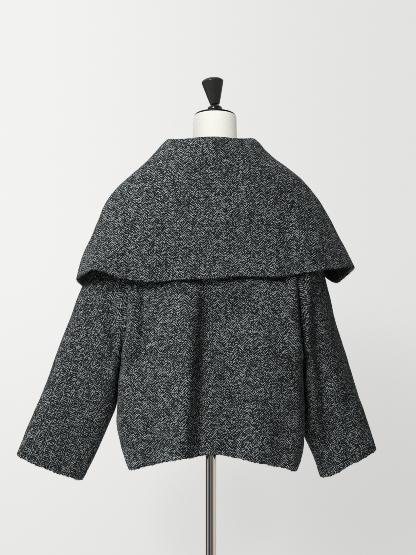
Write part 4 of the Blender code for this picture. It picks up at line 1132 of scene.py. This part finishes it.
# ---------------------------------------------------------------- form and stand
def turned(name, profile, steps, material, matrix):
    """A turned piece from its profile of (radius, height), foot to top, closed on its axis."""
    profile = np.array(profile, float)
    turn = np.arange(steps) * 2 * math.pi / steps
    rings = np.stack([profile[:, :1] * np.cos(turn), profile[:, :1] * np.sin(turn),
                      np.repeat(profile[:, 1:], steps, 1)], -1)
    points = rings.reshape(-1, 3)
    world = np.array(matrix)
    points = points @ world[:3, :3].T + world[:3, 3]
    n = len(profile)
    r, c = np.meshgrid(np.arange(n - 1), np.arange(steps), indexing="ij")
    r, c = r.ravel(), c.ravel()
    d = (c + 1) % steps
    quads = np.stack([r * steps + c, r * steps + d, (r + 1) * steps + d, (r + 1) * steps + c], 1)
    ends = np.array([world[:3, :3] @ np.array([0, 0, profile[0, 1]]) + world[:3, 3],
                     world[:3, :3] @ np.array([0, 0, profile[-1, 1]]) + world[:3, 3]])
    points = np.concatenate([points, ends])
    k, j = np.arange(steps), (np.arange(steps) + 1) % steps
    mesh = bpy.data.meshes.new(name)
    faces = [tuple(q) for q in quads]
    faces += [(int(j[i]), int(k[i]), n * steps) for i in range(steps)]
    faces += [((n - 1) * steps + int(k[i]), (n - 1) * steps + int(j[i]), n * steps + 1) for i in range(steps)]
    mesh.from_pydata([tuple(p) for p in points], [], faces)
    mesh.validate()
    mesh.shade_smooth()
    mesh.set_sharp_from_angle(angle=math.radians(38))
    mesh.materials.append(material)
    ob = bpy.data.objects.new(name, mesh)
    bpy.context.scene.collection.objects.link(ob)
    return ob


def form_lean(z):
    return NECK_SHIFT * (z - 0.70) / (1.465 - 0.70)


def form_torso(material):
    level = lambda name: column(FORM_LEVELS, FORM_COLUMNS, name)
    knots = level("z")
    at = np.unique(np.round(np.concatenate([np.linspace(0.70, 0.712, 6), np.linspace(0.712, 1.29, 90),
                                            np.linspace(1.29, 1.465, 60)]), 5))
    steps = 128
    turn = np.arange(steps) * 2 * math.pi / steps
    rings = []
    for z in at:
        half, back, front, square = (float(through(knots, level(n), z))
                                     for n in ("half", "back", "front", "square"))
        x = half * spow(np.cos(turn), 2 / square)
        y = spow(np.sin(turn), 2 / square)
        y = np.where(y < 0, back * y, front * y)
        tip = ease((z - 1.40) / 0.06) * math.tan(NECK_TILT)
        rings.append(np.stack([x + form_lean(z), y, z - y * tip], -1))
    rings = np.array(rings)
    top = rings[-1].mean(0)
    low = rings[0].mean(0)
    cover = [top + (rings[-1] - top) * s for s in (0.985, 0.9, 0.6, 0.25)]
    floor = [low + (rings[0] - low) * s for s in (0.3, 0.7, 0.95)]
    rings[-1] = top + (rings[-1] - top) * 0.995
    grid = np.concatenate([np.array(floor), rings, np.array(cover)])
    n = len(grid)
    r, c = np.meshgrid(np.arange(n - 1), np.arange(steps), indexing="ij")
    r, c = r.ravel(), c.ravel()
    d = (c + 1) % steps
    quads = [tuple(q) for q in np.stack([r * steps + c, r * steps + d, (r + 1) * steps + d, (r + 1) * steps + c], 1)]
    points = np.concatenate([grid.reshape(-1, 3), [low, top]])
    quads += [((i + 1) % steps, i, n * steps) for i in range(steps)]
    quads += [((n - 1) * steps + i, (n - 1) * steps + (i + 1) % steps, n * steps + 1) for i in range(steps)]
    mesh = bpy.data.meshes.new("form_torso_cover")
    mesh.from_pydata([tuple(p) for p in points], [], quads)
    mesh.validate()
    mesh.shade_smooth()
    mesh.set_sharp_from_angle(angle=math.radians(50))
    mesh.materials.append(material)
    ob = bpy.data.objects.new("form_torso_cover", mesh)
    bpy.context.scene.collection.objects.link(ob)
    return ob


def form_top(black_cap, black_bead, black_knob):
    top = FORM_LEVELS["neck top"]
    middle_y = (top[3] - top[2]) / 2
    foot = Vector((NECK_SHIFT, middle_y, top[0] - middle_y * math.tan(NECK_TILT)))
    lid = Matrix.Translation(foot) @ Matrix.Rotation(-NECK_TILT, 4, "X")
    cap = [(CAP_HALF - 0.0012, SEAM), (CAP_HALF - 0.0004, 0.0007), (CAP_HALF, 0.0015),
           (CAP_HALF, 0.0042), (CAP_HALF - 0.0003, 0.0048), (CAP_HALF - 0.0007, 0.0053)]
    cap += [((CAP_HALF - 0.0008) * math.cos(k * math.pi / 36),
             0.0054 + (CAP_RISE - 0.0054) * math.sin(k * math.pi / 36)) for k in range(1, 13)]
    cap += [(0.018, CAP_RISE - 0.0001), (0.006, CAP_RISE)]
    made = [turned("form_cap_lacquer", cap, 96, black_cap, lid)]
    bead = [(BEAD_HALF * math.cos(k * math.pi / 48),
             BEAD_HIGH * (0.56 if k < 0 else 0.44) * math.sin(k * math.pi / 48)) for k in range(-21, 22)]
    low = bead[0][1]
    bead = [(r, h - low + CAP_RISE + SEAM) for r, h in bead]
    made.append(turned("form_bead_lacquer", bead, 96, black_bead, lid))
    start = lid @ Vector((0, 0, bead[-1][1] + SEAM))
    lean = (Matrix.Translation(start) @ Matrix.Rotation(-FINIAL_LEAN, 4, "Y")
            @ Matrix.Rotation(-NECK_TILT * 0.5, 4, "X"))
    knob = [(FINIAL_FOOT - 0.0015, 0.0008), (FINIAL_FOOT - 0.0004, 0.0016), (FINIAL_FOOT, 0.003)]
    knob += [(FINIAL_FOOT + (FINIAL_TOP - FINIAL_FOOT) * (k / 24) ** 0.95,
              0.003 + (FINIAL_HIGH - 0.003) * k / 24) for k in range(1, 25)]
    knob += [(FINIAL_TOP * math.cos(k * math.pi / 36) ,
              FINIAL_HIGH + FINIAL_DOME * math.sin(k * math.pi / 36)) for k in range(1, 18)]
    knob += [(0.003, FINIAL_HIGH + FINIAL_DOME)]
    made.append(turned("form_finial_lacquer", knob, 96, black_knob, lean))
    return made


def stand(metal):
    base = [(BASE_R - 0.002, 0.0), (BASE_R - 0.0006, 0.0006), (BASE_R, 0.002), (BASE_R, BASE_EDGE - 0.0005)]
    base += [(BASE_R * math.cos(k * math.pi / 64) ** 0.5 * (1 - k / 160),
              BASE_EDGE + (BASE_RISE - BASE_EDGE) * math.sin(k * math.pi / 64)) for k in range(1, 31)]
    base += [(0.03, BASE_RISE)]
    plate = turned("stand_base_plate", base, 160, metal, Matrix.Identity(4))
    low, high = BASE_RISE + SEAM, FORM_LEVELS["rim"][0] - SEAM
    pole = [(POLE_R - 0.0006, low), (POLE_R, low + 0.0008)]
    pole += [(POLE_R, low + (high - low) * k / 12) for k in range(1, 12)]
    pole += [(POLE_R, high - 0.0008), (POLE_R - 0.0006, high)]
    tube = turned("stand_pole_tube", pole, 96, metal, Matrix.Identity(4))
    return plate, tube


COVER = jersey("cream_jersey")
METAL = plated("plated_steel")
torso = form_torso(COVER)
cap, bead, finial = form_top(lacquer("black_cap", (0.006, 0.006, 0.0063), 0.30, 0.42, 0.0, 0.2),
                             lacquer("black_bead", (0.010, 0.010, 0.0105), 0.06, 0.10, 0.5, 0.5),
                             lacquer("black_knob", (0.030, 0.030, 0.0295), 0.24, 0.34, 0.0, 0.22))
plate, tube = stand(METAL)

# ---------------------------------------------------------------- what stands for what
for piece, node, slot in (
        (back_cloth, "coat_back", "tweed"), (left_cloth, "coat_front_left", "tweed"),
        (right_cloth, "coat_front_right", "tweed"), (sleeve_l, "sleeve_left", "tweed"),
        (sleeve_r, "sleeve_right", "tweed"), (mantle_cloth, "mantle", "tweed"),
        (lining, "mantle_lining", "lining"), (torso, "form_torso", "form_cover"),
        (cap, "form_cap", "black_lacquer"), (bead, "form_bead", "black_lacquer"),
        (finial, "form_finial", "black_lacquer"), (tube, "stand_pole", "plated_steel"),
        (plate, "stand_base", "plated_steel")):
    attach(piece, "root")
    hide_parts(node)
for hair in (back_nap, left_nap, right_nap, sleeve_l_nap, sleeve_r_nap, mantle_nap):
    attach(hair, "root")

for piece, at, ring, held, rests, hair in (
        (back_cloth, back_at, False, "hung", ["form_torso"], back_nap),
        (left_cloth, left_at, False, "hung", ["form_torso"], left_nap),
        (right_cloth, right_at, False, "hung", ["form_torso"], right_nap),
        (sleeve_l, sleeve_l_at, True, "hung", ["coat_back"], sleeve_l_nap),
        (sleeve_r, sleeve_r_at, True, "hung", ["coat_back"], sleeve_r_nap),
        (mantle_cloth, mantle_at, False, "draped", ["coat_back"], mantle_nap),
        (lining, lining_at, False, "draped", ["mantle"], None)):
    area, wide, tall = area_of(at, ring)

# ---------------------------------------------------------------- floor, light and camera
FLOOR_FADE = (0.55, 1.85)
# what the room shows a mirror at eye level, by share of a turn from behind the object
ROOM_COLUMNS = ("place", "red", "green", "blue")
ROOM_BANDS = {
    "behind left":  (0.000, 0.42, 0.38, 0.33),
    "dark wood":    (0.120, 0.050, 0.036, 0.024),
    "wood end":     (0.215, 0.060, 0.044, 0.030),
    "window":       (0.255, 0.48, 0.44, 0.39),
    "window end":   (0.310, 0.42, 0.39, 0.35),
    "shade":        (0.350, 0.090, 0.098, 0.105),
    "dark":         (0.400, 0.030, 0.032, 0.040),
    "screen":       (0.455, 0.070, 0.075, 0.080),
    "screen mid":   (0.480, 0.24, 0.265, 0.26),
    "screen end":   (0.510, 0.20, 0.21, 0.205),
    "gap":          (0.545, 0.035, 0.030, 0.028),
    "lamp shade":   (0.590, 0.17, 0.095, 0.028),
    "wall":         (0.650, 0.58, 0.49, 0.36),
    "pale wall":    (0.720, 0.58, 0.60, 0.62),
    "far wall":     (0.860, 0.50, 0.485, 0.46),
    "behind right": (1.000, 0.62, 0.60, 0.56),
}


def floor():
    steps, rings = 96, np.concatenate([np.linspace(0, 0.8, 7), np.linspace(0.8, 1.9, 8)[1:]])
    turn = np.arange(steps) * 2 * math.pi / steps
    points = [(0.0, 0.0, 0.0)] + [(r * math.cos(t), r * math.sin(t), 0.0) for r in rings[1:] for t in turn]
    faces = [(0, 1 + i, 1 + (i + 1) % steps) for i in range(steps)]
    for k in range(len(rings) - 2):
        a, b = 1 + k * steps, 1 + (k + 1) * steps
        faces += [(a + i, b + i, b + (i + 1) % steps, a + (i + 1) % steps) for i in range(steps)]
    mesh = bpy.data.meshes.new("floor")
    mesh.from_pydata(points, [], faces)
    ob = bpy.data.objects.new("floor", mesh)
    bpy.context.scene.collection.objects.link(ob)
    net = Net("pale_floor")
    at = net.place()
    away = net.tree.nodes.new("ShaderNodeVectorMath")
    away.operation = "LENGTH"
    net.put(away.inputs[0], at)
    fade = net.spread(away.outputs["Value"], *FLOOR_FADE, 0.0, 1.0)
    speckle = net.noise(at, 5.0, 3.0)
    net.put(net.shader.inputs["Base Color"], net.mixed(speckle, (0.80, 0.80, 0.79, 1), (0.83, 0.83, 0.82, 1)))
    net.shader.inputs["Roughness"].default_value = 0.6
    clear = net.tree.nodes.new("ShaderNodeBsdfTransparent")
    mix = net.tree.nodes.new("ShaderNodeMixShader")
    net.put(mix.inputs[0], fade)
    net.put(mix.inputs[1], net.shader.outputs[0])
    net.put(mix.inputs[2], clear.outputs[0])
    net.put(net.tree.nodes["Material Output"].inputs[0], mix.outputs[0])
    mesh.materials.append(net.material)


def surroundings():
    """A pale studio: what the eye sees behind the object, and the light that falls on it."""
    world = bpy.data.worlds.new("studio")
    bpy.context.scene.world = world
    world.use_nodes = True
    tree = world.node_tree
    tree.nodes.clear()

    def math_(what, a, b=None):
        made = tree.nodes.new("ShaderNodeMath")
        made.operation = what
        for i, value in enumerate((a, b)):
            if value is None:
                continue
            if isinstance(value, bpy.types.NodeSocket):
                tree.links.new(value, made.inputs[i])
            else:
                made.inputs[i].default_value = value
        return made.outputs[0]

    def spread(value, low, high, to_low, to_high):
        made = tree.nodes.new("ShaderNodeMapRange")
        made.interpolation_type = "SMOOTHSTEP"
        tree.links.new(value, made.inputs[0])
        for i, number in enumerate((low, high, to_low, to_high)):
            made.inputs[i + 1].default_value = number
        return made.outputs[0]

    def tinted(value, colour):
        made = tree.nodes.new("ShaderNodeCombineColor")
        for i, share in enumerate(colour):
            tree.links.new(math_("MULTIPLY", value, share), made.inputs[i])
        return made.outputs[0]

    at = tree.nodes.new("ShaderNodeTexCoord").outputs["Generated"]
    parts = tree.nodes.new("ShaderNodeSeparateXYZ")
    tree.links.new(at, parts.inputs[0])
    x, y, z = parts.outputs
    # the backdrop the eye sees is darker to the right and towards the bottom: painted falloff of light
    backdrop_painted_shade = math_("MULTIPLY", spread(x, -0.16, 0.17, 0.893, 0.765), spread(z, -0.23, 0.03, 0.905, 1.0))
    # two soft dark blobs below the object and to its right: painted shadow of the coat on the backdrop
    for x0, z0, reach, depth in ((0.105, -0.130, 0.120, 0.085), (0.003, -0.175, 0.055, 0.060)):
        off_x, off_z = math_("SUBTRACT", x, x0), math_("SUBTRACT", z, z0)
        away = math_("ADD", math_("MULTIPLY", off_x, off_x), math_("MULTIPLY", off_z, off_z))
        backdrop_painted_shade = math_("MULTIPLY", backdrop_painted_shade, spread(away, 0.0, reach * reach, 1 - depth, 1.0))
    side = spread(y, -0.30, 0.45, 0.07, 0.72)
    left = spread(x, -0.9, 0.7, 0.19, -0.30)
    high = spread(z, -0.3, 0.9, -0.05, 0.16)
    light = math_("MAXIMUM", math_("ADD", math_("ADD", side, left), high), 0.03)
    dark = spread(math_("ADD", math_("MULTIPLY", x, x), math_("MULTIPLY", z, z)), 0.04, 0.20, 0.12, 1.0)
    front = spread(y, -0.97, -0.80, 0.0, 1.0)
    light = math_("MULTIPLY", light, math_("MAXIMUM", dark, front))
    ramp = tree.nodes.new("ShaderNodeValToRGB")
    compass = math_("ARCTAN2", x, math_("MULTIPLY", y, -1.0))
    tree.links.new(math_("ADD", math_("DIVIDE", compass, 2 * math.pi), 0.5), ramp.inputs[0])
    while len(ramp.color_ramp.elements) < len(ROOM_BANDS):
        ramp.color_ramp.elements.new(0.5)
    for element, (place, *colour) in zip(ramp.color_ramp.elements, sorted(ROOM_BANDS.values())):
        element.position = place
        element.color = (*colour, 1)
    level = math_("MULTIPLY", spread(z, -0.45, -0.25, 0.0, 1.0), spread(z, 0.25, 0.45, 1.0, 0.0))
    path = tree.nodes.new("ShaderNodeLightPath").outputs
    banded = math_("MULTIPLY", path["Is Glossy Ray"], level)
    backs = []
    for colour in (tinted(light, (1.0, 0.995, 0.985)), ramp.outputs[0], tinted(backdrop_painted_shade, (1.0, 0.998, 0.982))):
        shade = tree.nodes.new("ShaderNodeBackground")
        tree.links.new(colour, shade.inputs["Color"])
        backs.append(shade.outputs[0])
    for share, over in ((banded, backs[1]), (path["Is Camera Ray"], backs[2])):
        mix = tree.nodes.new("ShaderNodeMixShader")
        tree.links.new(share, mix.inputs[0])
        tree.links.new(backs[0], mix.inputs[1])
        tree.links.new(over, mix.inputs[2])
        backs[0] = mix.outputs[0]
    out = tree.nodes.new("ShaderNodeOutputWorld")
    tree.links.new(backs[0], out.inputs["Surface"])


def lamp(name, place, target, size, watts, colour):
    data = bpy.data.lights.new(name, "AREA")
    data.shape = "RECTANGLE"
    data.size, data.size_y = size
    data.energy = watts
    data.color = colour
    ob = bpy.data.objects.new(name, data)
    ob.location = place
    ob.rotation_euler = (Vector(target) - Vector(place)).to_track_quat("-Z", "Y").to_euler()
    bpy.context.scene.collection.objects.link(ob)
    return ob


floor()
surroundings()
lamp("key", (-1.46, -2.95, 3.12), (0.0, -0.05, 1.08), (1.5, 1.5), 147.0, (1.0, 0.997, 0.99))
lamp("top", (-0.2, 0.2, 3.4), (0.0, 0.0, 1.2), (1.6, 1.4), 3.0, (1.0, 1.0, 1.0))
neck_light = lamp("neck", (1.9, -2.0, 2.0), (0.01, 0.0, 1.43), (0.8, 0.8), 42.0, (1.0, 0.995, 0.975))
form_only = bpy.data.collections.new("form_cover")
form_only.objects.link(torso)
neck_light.light_linking.receiver_collection = form_only

scene = bpy.context.scene
scene.view_settings.view_transform = "Standard"
scene.view_settings.look = "None"
scene.cycles.use_denoising = False       # the weave is finer than a denoiser keeps
scene.cycles.filter_width = 0.8
camera = bpy.data.objects.new("camera", bpy.data.cameras.new("camera"))
camera.location = (-0.0072, -3.2, 1.08)
camera.rotation_euler = (math.pi / 2, 0.0, 0.0)
camera.data.sensor_width = 36.0
camera.data.lens = 36.0 * 3.2 / (555 * 0.0024)
camera.data.clip_start, camera.data.clip_end = 0.05, 60.0
scene.collection.objects.link(camera)
scene.camera = camera
